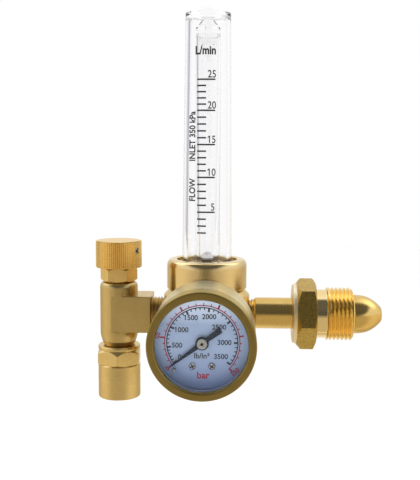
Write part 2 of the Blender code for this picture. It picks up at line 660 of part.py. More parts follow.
def make_cap():
    thread_top = CAP_TOP + CAP_THREAD_LENGTH
    land = CAP_THREAD_RADIUS + 2 * CAP_RING_CORD + 2 * SEAL_GAP
    shelf = CAP_TOP - 2 * CAP_RING_CORD - SEAL_GAP
    thread = [(0, thread_top), (CAP_THREAD_RADIUS, thread_top), (CAP_THREAD_RADIUS, CAP_TOP)]
    thread.extend([(CAP_THREAD_RADIUS, shelf - OVERRUN / 2), (0, shelf - OVERRUN / 2)])
    cap = hexagon("body_cap", CAP_HEX_RADIUS, CAP_BOTTOM, CAP_TOP, BRASS)
    groove = tube("cap_ring_groove", land, CAP_THREAD_RADIUS - SEAL_GAP, shelf, CAP_TOP + OVERRUN)
    join(cut(cap, groove), turned("cap_thread", thread))
    floor = CAP_BOTTOM + CAP_FLOOR
    cut(cap, drum("cap_bore", CAP_BORE, floor, thread_top + OVERRUN))
    ring_radius = CAP_THREAD_RADIUS + SEAL_GAP + CAP_RING_CORD
    seal_ring("cap_o_ring", ring_radius, CAP_RING_CORD, shelf + SEAL_GAP / 2 + CAP_RING_CORD)


def nose_radius(share):
    """Radius of the rounded nose at a share of its taper, an ellipse cut off at the gas bore."""
    return NOSE_END_RADIUS + (NOSE_RADIUS - NOSE_END_RADIUS) * math.sqrt(1 - share ** 2)


def make_inlet():
    shoulder = NOSE_START + NOSE_STRAIGHT
    profile = [(GAS_BORE_RADIUS, INLET_REACH)]
    for index in range(NOSE_RINGS, 0, -1):
        share = index / NOSE_RINGS
        profile.append((nose_radius(share), shoulder + NOSE_TAPER * share))
    profile.extend([(NOSE_RADIUS, shoulder), (NOSE_RADIUS, NOSE_START), (PIPE_RADIUS, NOSE_START)])
    thread_end = PIPE_START - PIPE_CHAMFER
    thread_start = thread_end - NIPPLE_THREAD_DEPTH + SEAT_GAP
    profile.extend([(PIPE_RADIUS, PIPE_START), (PIPE_RADIUS - PIPE_CHAMFER, thread_end)])
    profile.extend([(NIPPLE_THREAD_RADIUS, thread_end), (NIPPLE_THREAD_RADIUS, thread_start)])
    pocket = FILTER_RADIUS + FIT
    pocket_end = thread_start + FILTER_LENGTH + SEAT_GAP
    profile.extend([(pocket, thread_start), (pocket, pocket_end), (GAS_BORE_RADIUS, pocket_end)])
    turned("inlet_nipple", profile, BRASS, facing=RIGHT, ring=True)
    drum("inlet_filter", FILTER_RADIUS, thread_start, thread_start + FILTER_LENGTH, BRONZE,
         facing=RIGHT, steps=SMALL_STEPS)
    hex_end = NUT_START + NUT_HEX_LENGTH
    neck_end = hex_end + NUT_NECK_LENGTH
    nut = hexagon("inlet_nut", NUT_HEX_RADIUS, NUT_START, hex_end, BRASS, chamfer=HEX_CHAMFER,
                  facing=RIGHT, turn=-NUT_HEX_TILT)
    rim = NUT_THREAD_RADIUS - NUT_THREAD_CHAMFER
    thread = [(0, NUT_END), (rim, NUT_END), (NUT_THREAD_RADIUS, NUT_END - NUT_THREAD_CHAMFER)]
    thread.extend([(NUT_THREAD_RADIUS, neck_end), (NUT_NECK_RADIUS, neck_end)])
    middle = (NUT_START + hex_end) / 2
    thread.extend([(NUT_NECK_RADIUS, middle), (0, middle)])
    join(nut, turned("nut_thread", thread, facing=RIGHT, steps=OUTER_STEPS))
    cut(nut, drum("nut_bore", PIPE_RADIUS + FIT, NUT_START - OVERRUN, NUT_END + OVERRUN, facing=RIGHT))


def make_valve():
    axis = (-VALVE_OFFSET, 0, 0)
    shoulder = arc(VALVE_SHOULDER, 90, 0, (VALVE_RADIUS - VALVE_SHOULDER, VALVE_RISE - VALVE_SHOULDER), 3)
    profile = [(0, VALVE_RISE), *shoulder]
    profile.extend([(VALVE_RADIUS, -VALVE_DROP + OUTLET_CHAMFER)])
    profile.append((VALVE_RADIUS - OUTLET_CHAMFER, -VALVE_DROP))
    profile.append((0, -VALVE_DROP))
    valve = turned("valve_body", profile, BRASS, at=axis, steps=OUTER_STEPS)
    low = (-VALVE_OFFSET, -BLOCK_HALF_WIDTH, -BLOCK_DROP)
    join(valve, box("valve_block", low, (BLOCK_RIGHT, BLOCK_HALF_WIDTH, BLOCK_RISE)))
    flat_left = -VALVE_OFFSET - VALVE_RADIUS - OVERRUN
    flat_depth = VALVE_RADIUS + OVERRUN
    for side, name in ((-1, "front_flat"), (1, "back_flat")):
        near, far = sorted((side * BLOCK_HALF_WIDTH, side * flat_depth))
        cut(valve, box(name, (flat_left, near, -BLOCK_DROP), (BLOCK_RIGHT, far, BLOCK_RISE)))
    seat = -VALVE_SEAT_DROP
    packing_bore = PACKING_THREAD_RADIUS + FIT
    bore = [(0, VALVE_RISE + OVERRUN), (packing_bore, VALVE_RISE + OVERRUN), (packing_bore, PACKING_SEAT)]
    bore.extend([(STEM_BORE, PACKING_SEAT), (STEM_BORE, seat), (ORIFICE_RADIUS, seat)])
    socket = OUTLET_THREAD_RADIUS + FIT
    socket_top = OUTLET_TOP + OUTLET_THREAD_LENGTH + SEAT_GAP
    bore.extend([(ORIFICE_RADIUS, socket_top), (socket, socket_top), (socket, -VALVE_DROP - OVERRUN)])
    bore.append((0, -VALVE_DROP - OVERRUN))
    link_end = BLOCK_RIGHT - LINK_SPIGOT_LENGTH - SEAT_GAP
    port = [(0, BLOCK_RIGHT + OVERRUN), (LINK_SPIGOT_RADIUS + FIT, BLOCK_RIGHT + OVERRUN)]
    port.extend([(LINK_SPIGOT_RADIUS + FIT, link_end), (0, link_end)])
    port_rise = seat + ORIFICE_RADIUS + SEAT_GAP
    cut(
        valve,
        turned("stem_bore", bore, at=axis),
        turned("link_socket", port, facing=RIGHT),
        drum("link_port", ORIFICE_RADIUS, -VALVE_OFFSET, link_end + OVERRUN, at=(0, 0, port_rise),
             facing=RIGHT, steps=SMALL_STEPS),
    )
    body_end = -BODY_RADIUS + LINK_BODY_DEPTH - SEAT_GAP
    step = BLOCK_RIGHT + SEAT_GAP
    start = BLOCK_RIGHT - LINK_SPIGOT_LENGTH
    link = [(LINK_BORE, body_end), (LINK_THREAD_RADIUS, body_end), (LINK_THREAD_RADIUS, step)]
    link.extend([(LINK_SPIGOT_RADIUS, step), (LINK_SPIGOT_RADIUS, start), (LINK_BORE, start)])
    turned("valve_nipple", link, BRASS, facing=RIGHT, ring=True)


def make_valve_top():
    axis = (-VALVE_OFFSET, 0, 0)
    nut = hexagon("packing_nut", PACKING_HEX_RADIUS, PACKING_BOTTOM, PACKING_TOP, BRASS, chamfer=HEX_CHAMFER,
                  at=axis, turn=PACKING_HEX_TURN)
    overlap = (PACKING_BOTTOM + PACKING_TOP) / 2
    join(nut, drum("packing_thread", PACKING_THREAD_RADIUS, PACKING_THREAD_END, overlap, at=axis))
    cut(nut, drum("packing_bore", STEM_RADIUS + FIT, PACKING_THREAD_END - OVERRUN, PACKING_TOP + OVERRUN,
                  at=axis))
    ring_low = PACKING_SEAT + SEAT_GAP
    tube("packing_ring", PACKING_THREAD_RADIUS, STEM_RADIUS + FIT, ring_low, ring_low + PACKING_RING_HEIGHT,
         NYLON, at=axis)
    needle = -VALVE_SEAT_DROP + SEAT_GAP
    ring_inside = STEM_BORE - SEAL_GAP - 2 * STEM_RING_CORD
    groove = ring_inside * math.cos(math.pi / SMALL_STEPS) - SEAL_GAP
    half = STEM_RING_CORD + SEAL_GAP
    stem = [(0, STEM_TOP), (STEM_RADIUS, STEM_TOP), (STEM_RADIUS, STEM_RING_RISE + half)]
    stem.extend([(groove, STEM_RING_RISE + half), (groove, STEM_RING_RISE - half)])
    stem.extend([(STEM_RADIUS, STEM_RING_RISE - half), (STEM_RADIUS, needle + NEEDLE_LENGTH / 2)])
    stem.extend([(ORIFICE_RADIUS, needle), (NEEDLE_TIP_RADIUS, needle - NEEDLE_LENGTH / 2)])
    stem.append((0, needle - NEEDLE_LENGTH / 2))
    turned("valve_stem", stem, STEEL, at=axis, steps=SMALL_STEPS)
    seal_ring("stem_o_ring", ring_inside + STEM_RING_CORD, STEM_RING_CORD, STEM_RING_RISE, at=axis,
              steps=SMALL_STEPS)
    rim = KNOB_RADIUS - KNOB_CHAMFER
    bore = STEM_RADIUS + FIT
    knob = [(0, KNOB_TOP), (rim, KNOB_TOP), (KNOB_RADIUS, KNOB_TOP - KNOB_CHAMFER)]
    knob.extend([(KNOB_RADIUS, KNOB_BOTTOM + KNOB_CHAMFER), (rim, KNOB_BOTTOM), (bore, KNOB_BOTTOM)])
    knob.extend([(bore, KNOB_TOP - KNOB_TOP_WALL), (0, KNOB_TOP - KNOB_TOP_WALL)])
    knob = turned("flow_knob", knob, BRASS, at=axis, steps=OUTER_STEPS)
    outward = Matrix.Rotation(math.radians(SET_SCREW_TURN), 4, "Z") @ FRONT
    spot = (-VALVE_OFFSET, 0, KNOB_TOP - SET_SCREW_DROP)
    hole = SET_SCREW_RADIUS + FIT
    cut(knob, drum("set_screw_hole", hole, 0, KNOB_RADIUS + OVERRUN, at=spot, facing=outward,
                   steps=SMALL_STEPS))
    head = math.sqrt((KNOB_RADIUS - KNOB_CHAMFER) ** 2 - hole ** 2)
    drum("knob_set_screw", SET_SCREW_RADIUS, STEM_RADIUS + SEAT_GAP, head, STEEL, at=spot, facing=outward,
         steps=SMALL_STEPS)


def make_outlet():
    axis = (-VALVE_OFFSET, 0, 0)
    seal_low = OUTLET_TOP + SEAT_GAP
    tube("outlet_washer", VALVE_RADIUS - OUTLET_CHAMFER, OUTLET_THREAD_RADIUS + FIT, seal_low,
         seal_low + OUTLET_SEAL_HEIGHT, BRONZE, at=axis)
    thread_top = OUTLET_TOP + OUTLET_THREAD_LENGTH
    upper = [(0, thread_top), (OUTLET_THREAD_RADIUS, thread_top), (OUTLET_THREAD_RADIUS, OUTLET_TOP)]
    upper.extend([(OUTLET_COLLAR_RADIUS, OUTLET_TOP), (OUTLET_COLLAR_RADIUS, OUTLET_HEX_TOP)])
    middle = (OUTLET_HEX_TOP + OUTLET_HEX_BOTTOM) / 2
    core = OUTLET_HEX_RADIUS * math.cos(math.pi / 6) - SEAT_GAP
    upper.extend([(core, OUTLET_HEX_TOP), (core, middle), (0, middle)])
    barrel = [(0, middle), (core, middle), (core, OUTLET_HEX_BOTTOM)]
    barrel.append((OUTLET_BARREL_RADIUS, OUTLET_HEX_BOTTOM))
    barrel.extend([(OUTLET_BARREL_RADIUS, OUTLET_END + OUTLET_CHAMFER)])
    barrel.extend([(OUTLET_BARREL_RADIUS - OUTLET_CHAMFER, OUTLET_END), (0, OUTLET_END)])
    fitting = hexagon("outlet_fitting", OUTLET_HEX_RADIUS, OUTLET_HEX_BOTTOM, OUTLET_HEX_TOP, BRASS,
                      chamfer=HEX_CHAMFER, at=axis, turn=30 + OUTLET_HEX_TURN)
    join(fitting, turned("outlet_upper", upper, at=axis, steps=OUTER_STEPS))
    join(fitting, turned("outlet_barrel", barrel, at=axis, steps=OUTER_STEPS, turn=180 / OUTER_STEPS))
    socket_top = OUTLET_END + OUTLET_SOCKET_DEPTH
    bore = [(0, thread_top + OVERRUN), (OUTLET_BORE, thread_top + OVERRUN)]
    bore.append((OUTLET_BORE, socket_top + OUTLET_BORE))
    bore.extend([(OUTLET_SOCKET_RADIUS, socket_top), (OUTLET_SOCKET_RADIUS, OUTLET_END - OVERRUN)])
    bore.append((0, OUTLET_END - OVERRUN))
    cut(fitting, turned("outlet_socket", bore, at=axis))


def cover_radius(height):
    share = (height - COVER_FLANGE_TOP) / (COVER_TOP - COVER_FLANGE_TOP)
    return COVER_FOOT_RADIUS + (COVER_TOP_RADIUS - COVER_FOOT_RADIUS) * share


def make_flow_tube():
    seal_ring("cover_o_ring", COVER_RING_RADIUS, COVER_RING_CORD, SPIGOT_TOP + SEAL_GAP + COVER_RING_CORD)
    shoulder = COVER_TOP - COVER_CHAMFER
    ceiling = COVER_TOP - COVER_CROWN
    cover = [(0, COVER_TOP), (cover_radius(COVER_TOP) - COVER_CHAMFER, COVER_TOP)]
    cover.extend([(cover_radius(shoulder), shoulder), (COVER_FOOT_RADIUS, COVER_FLANGE_TOP)])
    cover.extend([(COVER_FLANGE_RADIUS, COVER_FLANGE_TOP), (COVER_FLANGE_RADIUS, COVER_BOTTOM)])
    cover.extend([(COVER_FOOT_RADIUS - COVER_WALL, COVER_BOTTOM)])
    cover.append((cover_radius(ceiling) - COVER_WALL, ceiling))
    cover.append((0, ceiling))
    turned("tube_cover", cover, CLEAR, steps=OUTER_STEPS)
    gland_low = COVER_FLANGE_TOP + SEAT_GAP
    tube("tube_gland", SPIGOT_RADIUS, COVER_FOOT_RADIUS + FIT, gland_low, gland_low + GLAND_HEIGHT, BRASS,
         steps=OUTER_STEPS)
    tube_wall = [(TUBE_RADIUS, TUBE_TOP), (TUBE_RADIUS, TUBE_BOTTOM)]
    tube_wall.extend([(TUBE_FOOT_BORE, TUBE_BOTTOM), (TUBE_TOP_BORE, TUBE_TOP)])
    turned("metering_tube", tube_wall, CLEAR, ring=True)
    cup = TUBE_RADIUS + FIT
    nozzle_top = BASE_FLOOR + NOZZLE_HEIGHT
    thread_end = BASE_BOTTOM - BASE_THREAD_LENGTH
    base = [(PASSAGE_RADIUS, nozzle_top), (NOZZLE_RADIUS, nozzle_top), (NOZZLE_RADIUS, BASE_FLOOR)]
    base.extend([(cup, BASE_FLOOR), (cup, BASE_FLOOR + BASE_CUP_HEIGHT)])
    base.append((BASE_RADIUS, BASE_FLOOR + BASE_CUP_HEIGHT))
    base.extend([(BASE_RADIUS, BASE_BOTTOM), (BASE_THREAD_RADIUS, BASE_BOTTOM)])
    base.append((BASE_THREAD_RADIUS, thread_end))
    base.append((PASSAGE_RADIUS, thread_end))
    turned("tube_base", base, BRASS, ring=True)
    ring_radius = (TUBE_FOOT_BORE + TUBE_RADIUS) / 2
    seal_ring("tube_o_ring", ring_radius, TUBE_RING_CORD, BASE_FLOOR + SEAL_GAP + TUBE_RING_CORD)
    spigot_low = STOP_BOTTOM - STOP_SPIGOT_LENGTH
    stop = [(PASSAGE_RADIUS, STOP_TOP), (STOP_TIP_RADIUS, STOP_TOP)]
    stop.append((STOP_RADIUS, STOP_BOTTOM + STOP_HEIGHT / 2))
    stop.extend([(STOP_RADIUS, STOP_BOTTOM), (STOP_SPIGOT_RADIUS, STOP_BOTTOM)])
    stop.append((STOP_SPIGOT_RADIUS, spigot_low))
    stop.append((PASSAGE_RADIUS, spigot_low))
    stop = turned("float_stop", stop, CLEAR, ring=True)
    middle = STOP_BOTTOM + STOP_HEIGHT / 4
    cut(stop, drum("stop_vent", PASSAGE_RADIUS, -STOP_RADIUS - OVERRUN, STOP_RADIUS + OVERRUN,
                   at=(0, 0, middle), facing=RIGHT, steps=SMALL_STEPS, turn=DRILL_TURN))
    mesh = bpy.data.meshes.new("float_ball")
    shape = bmesh.new()
    bmesh.ops.create_uvsphere(shape, u_segments=INNER_STEPS, v_segments=SMALL_STEPS, radius=BALL_RADIUS)
    shape.to_mesh(mesh)
    shape.free()
    place(bpy.data.objects.new("float_ball", mesh), STEEL, (0, 0, BALL_REST), UP, 0.0)


def on_gauge(across=0.0, up=0.0):
    """A point on the back of the gauge case, in the plane of the dial."""
    return (across, -CASE_BACK, -GAUGE_DROP + up)


def gauge_turned(name, profile, finish=None, across=0.0, up=0.0, **form):
    return turned(name, profile, finish, at=on_gauge(across, up), facing=FRONT, **form)


def gauge_drum(name, radius, back, front, finish=None, across=0.0, up=0.0, **form):
    return drum(name, radius, back, front, finish, at=on_gauge(across, up), facing=FRONT, **form)


def gauge_tube(name, outer, inner, back, front, finish=None, **form):
    return tube(name, outer, inner, back, front, finish, at=on_gauge(), facing=FRONT, **form)


def make_gauge_stem():
    spot = SPOT_FACE - CASE_BACK
    thread_end = spot - STEM_THREAD_LENGTH
    neck = [(0, BOSS_FRONT), (STEM_BOSS_RADIUS, BOSS_FRONT), (STEM_BOSS_RADIUS, FLANGE_FRONT)]
    neck.extend([(STEM_FLANGE_RADIUS, FLANGE_FRONT), (STEM_FLANGE_RADIUS, FLANGE_BACK)])
    neck.extend([(STEM_HEX_RADIUS, FLANGE_BACK), (STEM_HEX_RADIUS, -SEAT_GAP / 2)])
    hex_middle = spot / 2
    neck.extend([(STEM_THREAD_RADIUS, -SEAT_GAP / 2), (STEM_THREAD_RADIUS, hex_middle)])
    neck.extend([(STEM_THREAD_RADIUS, thread_end), (0, thread_end)])
    stem = gauge_turned("gauge_stem", neck, BRASS)
    hexagonal = drum("stem_hex", STEM_HEX_RADIUS, spot + SEAT_GAP, FLANGE_BACK / 2, at=on_gauge(),
                     facing=FRONT, steps=6)
    arm_end = -BOURDON_RADIUS - BOURDON_HALF_WIDTH - SEAT_GAP
    arm = box("stem_arm", (-ARM_HALF_WIDTH, arm_end, FLANGE_FRONT - STEM_FLANGE / 2),
              (ARM_HALF_WIDTH, -STEM_BOSS_RADIUS / 2, BOSS_FRONT - SEAT_GAP), facing=FRONT, at=on_gauge())
    join(stem, hexagonal, arm)
    bore_end = FLANGE_FRONT + STEM_BOSS / 2
    cut(stem, gauge_drum("stem_gas_bore", PASSAGE_RADIUS, thread_end - OVERRUN, bore_end, steps=SMALL_STEPS))
    for side, name in ((-1, "case_screw_left"), (1, "case_screw_right")):
        across = side * CASE_SCREW_OFFSET
        hole = CASE_SCREW_RADIUS + FIT
        tip = FLANGE_BACK + STEM_FLANGE / 2
        cut(stem, gauge_drum(name + "_tap", hole, 0, tip + SEAT_GAP, across=across, steps=SMALL_STEPS))
        head = -SEAT_GAP - CASE_SCREW_HEAD_HEIGHT
        screw = [(0, tip), (CASE_SCREW_RADIUS, tip), (CASE_SCREW_RADIUS, -SEAT_GAP)]
        screw.extend([(CASE_SCREW_HEAD, -SEAT_GAP), (CASE_SCREW_HEAD, head), (0, head)])
        gauge_turned(name, screw, STEEL, across=across, steps=SMALL_STEPS)


def make_gauge_case():
    thread_back = CASE_DEPTH - CASE_THREAD_LENGTH
    hole = STEM_HEX_RADIUS + FIT
    case = [(CASE_BORE, CASE_DEPTH), (CASE_THREAD_RADIUS, CASE_DEPTH), (CASE_THREAD_RADIUS, thread_back)]
    case.extend([(CASE_RADIUS, thread_back), (CASE_RADIUS, CASE_EDGE), (CASE_RADIUS - CASE_EDGE, 0)])
    case.append((hole, 0))
    case.extend([(hole, CASE_WALL), (CASE_BORE, CASE_WALL)])
    case = gauge_turned("gauge_case", case, BRASS, ring=True, steps=OUTER_STEPS)
    for side in (-1, 1):
        cut(case, gauge_drum("case_screw_hole", CASE_SCREW_RADIUS + FIT, -OVERRUN, CASE_WALL + OVERRUN,
                             across=side * CASE_SCREW_OFFSET, steps=SMALL_STEPS))
    bezel = [(DIAL_OPENING, BEZEL_FRONT), (BEZEL_RADIUS - BEZEL_EDGE, BEZEL_FRONT)]
    bezel.extend([(BEZEL_RADIUS, BEZEL_FRONT - BEZEL_EDGE), (BEZEL_RADIUS, BEZEL_BACK)])
    bezel.append((BEZEL_BORE, BEZEL_BACK))
    bezel.extend([(BEZEL_BORE, BEZEL_SEAT), (DIAL_OPENING, BEZEL_SEAT)])
    gauge_turned("gauge_bezel", bezel, BRASS, ring=True, steps=OUTER_STEPS)
    gauge_drum("gauge_lens", CASE_THREAD_RADIUS, LENS_BACK, LENS_BACK + LENS_THICKNESS, CLEAR,
               steps=OUTER_STEPS)
    gauge_tube("lens_gasket", CASE_THREAD_RADIUS, CASE_THREAD_RADIUS - GASKET_WIDTH, GASKET_BACK,
               GASKET_BACK + GASKET_THICKNESS, RUBBER, steps=OUTER_STEPS)


def movement_plate(name, back, screw_hole):
    """A round-ended plate from below the dial screws to above the sector pivot."""
    low = -DIAL_SCREW_DROP - PLATE_MARGIN + PLATE_HALF_WIDTH
    high = PIVOT_RISE + PLATE_MARGIN - PLATE_HALF_WIDTH
    outline = arc(PLATE_HALF_WIDTH, 180, 360, (0, low)) + arc(PLATE_HALF_WIDTH, 0, 180, (0, high))
    holes = [circle(PIN_HOLE, (0, 0), 10), circle(PIN_HOLE, (0, PIVOT_RISE), 10)]
    if screw_hole:
        for side in (-1, 1):
            holes.append(circle(screw_hole, (side * DIAL_SCREW_SPACING / 2, -DIAL_SCREW_DROP), 10))
    return plate(name, [outline, *holes], back, back + PLATE_THICKNESS, BRASS, at=on_gauge())


def make_dial():
    holes = [circle(PIN_HOLE + FIT)]
    screw_hole = DIAL_SCREW_RADIUS + FIT
    for side, name in ((-1, "dial_screw_left"), (1, "dial_screw_right")):
        across = side * DIAL_SCREW_SPACING / 2
        holes.append(circle(screw_hole, (across, -DIAL_SCREW_DROP), 10))
        low = DIAL_FRONT + SEAT_GAP
        high = low + DIAL_SCREW_HEAD_HEIGHT
        screw = [(0, high), (DIAL_SCREW_HEAD, high), (DIAL_SCREW_HEAD, low), (DIAL_SCREW_RADIUS, low)]
        screw.extend([(DIAL_SCREW_RADIUS, FRONT_PLATE), (0, FRONT_PLATE)])
        gauge_turned(name, screw, STEEL, across=across, up=-DIAL_SCREW_DROP, steps=SMALL_STEPS)
    rim = circle(DIAL_RADIUS, count=OUTER_STEPS)
    plate("gauge_dial", [rim, *holes], DIAL_BACK, DIAL_FRONT, WHITE, at=on_gauge())
    angle = math.radians(STOP_PIN_ANGLE)
    low = DIAL_FRONT + SEAT_GAP
    gauge_drum("stop_pin", STOP_PIN_RADIUS, low, low + STOP_PIN_HEIGHT, ALUMINIUM, steps=SMALL_STEPS,
               across=STOP_PIN_REACH * math.cos(angle), up=STOP_PIN_REACH * math.sin(angle))
    movement_plate("movement_front_plate", FRONT_PLATE, screw_hole)
    movement_plate("movement_back_plate", BACK_PLATE, 0.0)
    for side, name in ((-1, "movement_pillar_left"), (1, "movement_pillar_right")):
        gauge_drum(name, PILLAR_RADIUS, PILLAR_BACK, PILLAR_BACK + PILLAR_LENGTH, BRASS,
                   across=side * PILLAR_SPACING / 2, up=-PILLAR_DROP, steps=SMALL_STEPS)


def tooth_half_angle(radius, teeth):
    """Half the angle that an involute tooth takes at a radius."""
    pressure = math.radians(PRESSURE_ANGLE)
    base = MODULE * teeth / 2 * math.cos(pressure)
    lean = math.acos(min(1.0, base / radius))
    at_pitch = (math.pi - TOOTH_BACKLASH) / 2 / teeth
    return at_pitch + math.tan(pressure) - pressure - (math.tan(lean) - lean)


def tooth_points(teeth, centre_angle):
    """One tooth, counter-clockwise from root to root."""
    pitch = MODULE * teeth / 2
    radii = [pitch - TOOTH_DEDENDUM * MODULE, pitch, pitch + TOOTH_ADDENDUM * MODULE]
    points = []
    for radius, side in [(r, -1) for r in radii] + [(r, 1) for r in reversed(radii)]:
        angle = centre_angle + side * tooth_half_angle(radius, teeth)
        points.append((radius * math.cos(angle), radius * math.sin(angle)))
    return points


def make_pointer():
    eye = math.degrees(math.asin(POINTER_ROOT_HALF / POINTER_EYE))
    tail_half = math.degrees(math.asin(POINTER_TAIL_HALF / POINTER_EYE))
    outline = [(POINTER_REACH, -POINTER_TIP_HALF), (POINTER_REACH, POINTER_TIP_HALF)]
    outline.extend(arc(POINTER_EYE, eye, 180 - tail_half))
    outline.extend([(-POINTER_TAIL, POINTER_TAIL_HALF), (-POINTER_TAIL, -POINTER_TAIL_HALF)])
    outline.extend(arc(POINTER_EYE, 180 + tail_half, 360 - eye))
    plate("pointer", [outline, circle(PIN_HOLE)], POINTER_BACK, POINTER_FRONT, BLACK, at=on_gauge(),
          turn=POINTER_ZERO)
    gauge_tube("pointer_hub", HUB_RADIUS, PIN_HOLE, HUB_BACK, HUB_BACK + HUB_HEIGHT, ALUMINIUM)
    sector_back = BACK_PLATE_FRONT + SECTOR_LEVEL
    arbor = gauge_drum("pinion_arbor", ARBOR_RADIUS, BACK_PLATE + SEAT_GAP, HUB_BACK + HUB_HEIGHT, STEEL,
                       steps=SMALL_STEPS)
    outline = []
    for index in range(PINION_TEETH):
        outline.extend(tooth_points(PINION_TEETH, 2 * math.pi * index / PINION_TEETH))
    gap_turn = 90 + 180 / PINION_TEETH + GEAR_RATIO * SECTOR_SWING / 2
    pinion = plate("pinion", [outline], sector_back - PINION_EXTRA,
                   sector_back + SECTOR_THICKNESS + PINION_EXTRA,
                   None, at=on_gauge(), turn=gap_turn)
    join(arbor, pinion)


def make_sector():
    level = BACK_PLATE_FRONT + SECTOR_LEVEL
    link_back = BACK_PLATE_FRONT + LINK_LEVEL
    pitch = 2 * math.pi / SECTOR_TEETH
    first = -math.pi / 2 - pitch * (SECTOR_CUT_TEETH - 1) / 2
    outline = []
    for index in range(SECTOR_CUT_TEETH):
        outline.extend(tooth_points(SECTOR_TEETH, first + pitch * index))
    outline.append((SECTOR_HUB, 0))
    outline.extend(arc(SECTOR_TAIL_END, 0, 180, (0, SECTOR_TAIL)))
    outline.append((-SECTOR_HUB, 0))
    at = on_gauge(0, PIVOT_RISE)
    rest = -SECTOR_SWING / 2
    sector = plate("sector_gear", [outline], level, level + SECTOR_THICKNESS, BRASS, at=at, turn=rest)
    middle = level + SECTOR_THICKNESS / 2
    arbor = gauge_drum("sector_arbor", ARBOR_RADIUS, BACK_PLATE + SEAT_GAP, FRONT_PLATE_FRONT - SEAT_GAP,
                       up=PIVOT_RISE, steps=SMALL_STEPS)
    tail_across = SECTOR_TAIL * math.sin(HALF_SWING)
    tail_rise = PIVOT_RISE + SECTOR_TAIL * math.cos(HALF_SWING)
    pin = gauge_drum("tail_pin", LINK_PIN_RADIUS, link_back - SEAT_GAP, middle, across=tail_across,
                     up=tail_rise,
                     steps=SMALL_STEPS)
    join(sector, arbor, pin)
    hole = LINK_PIN_RADIUS + FIT
    slot_half = hole + SECTOR_TAIL * (1 - math.cos(HALF_SWING))
    slot_start = TIP_ACROSS - tail_across
    slot_end = slot_start + 2 * tail_across
    reach = slot_end + LINK_HALF_WIDTH - slot_half
    outline = arc(LINK_HALF_WIDTH, 90, 270) + arc(LINK_HALF_WIDTH, -90, 90, (reach, 0))
    slot = arc(slot_half, 90, 270, (slot_start, 0)) + arc(slot_half, -90, 90, (slot_end, 0))
    plate("movement_link", [outline, circle(hole), slot], link_back, link_back + LINK_THICKNESS, BRASS,
          at=on_gauge(tail_across, tail_rise))


def make_bourdon():
    inner = BOURDON_RADIUS - BOURDON_HALF_WIDTH
    root_turn = 270 - math.degrees(math.asin((ARM_HALF_WIDTH + SEAT_GAP) / inner))
    tip_turn = BOURDON_TIP_ANGLE + math.degrees((TIP_POST_RADIUS + SEAT_GAP) / BOURDON_RADIUS)
    flatten = BOURDON_HALF_HEIGHT / BOURDON_HALF_WIDTH
    path = [(x, y, 0.0) for x, y in arc(BOURDON_RADIUS, root_turn, tip_turn, count=BOURDON_POINTS)]
    centre = on_gauge()
    at = (centre[0], centre[1] - BOURDON_LEVEL, centre[2])
    coil = wire("bourdon_tube", path, 2 * BOURDON_HALF_WIDTH, BRONZE, at=at, facing=FRONT, turn=0.0)
    coil.scale = (1, 1, flatten)
    low = BOURDON_LEVEL - BOURDON_HALF_HEIGHT
    high = BOURDON_LEVEL + BOURDON_HALF_HEIGHT
    pin_top = BACK_PLATE_FRONT + LINK_LEVEL + LINK_THICKNESS + SEAT_GAP
    post = [(0, pin_top), (LINK_PIN_RADIUS, pin_top), (LINK_PIN_RADIUS, high), (TIP_POST_RADIUS, high)]
    post.extend([(TIP_POST_RADIUS, low), (0, low)])
    gauge_turned("bourdon_tip", post, BRASS, across=TIP_ACROSS, up=TIP_RISE, steps=SMALL_STEPS)
    points = spiral(HAIRSPRING_INNER, HAIRSPRING_OUTER, HAIRSPRING_TURNS)
    level = BACK_PLATE_FRONT + HAIRSPRING_LEVEL
    at = (centre[0], centre[1] - level, centre[2])
    wire("hairspring", points, HAIRSPRING_WIRE, BRONZE, at=at, facing=FRONT, turn=0.0)
    print_self_gap("hairspring", points, HAIRSPRING_WIRE)


def freeze_parts():
    """Turn every modelled piece into a plain mesh, smooth except at its edges."""
    graph = bpy.context.evaluated_depsgraph_get()
    finished = []
    for obj in parts.objects:
        if obj.type == "MESH":
            finished.append((obj, bpy.data.meshes.new_from_object(obj.evaluated_get(graph))))
    for obj, mesh in finished:
        obj.modifiers.clear()
        obj.data = mesh
        mesh.shade_smooth()
        mesh.set_sharp_from_angle(angle=math.radians(35))


def main():
    global parts, cutters, root
    clear_scene()
    parts = make_collection(NAME)
    cutters = make_collection("cutters")
    root = bpy.data.objects.new("inlet_end", None)
    root.location = (-INLET_REACH, 0, 0)
    bpy.context.scene.collection.objects.link(root)
    make_body()
    make_collar()
    make_pressure_stage()
    make_cap()
    make_inlet()
    make_valve()
    make_valve_top()
    make_outlet()
    make_flow_tube()
    make_gauge_stem()
    make_gauge_case()
    make_dial()
    make_pointer()
    make_sector()
    make_bourdon()
    freeze_parts()


main()
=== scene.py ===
import math

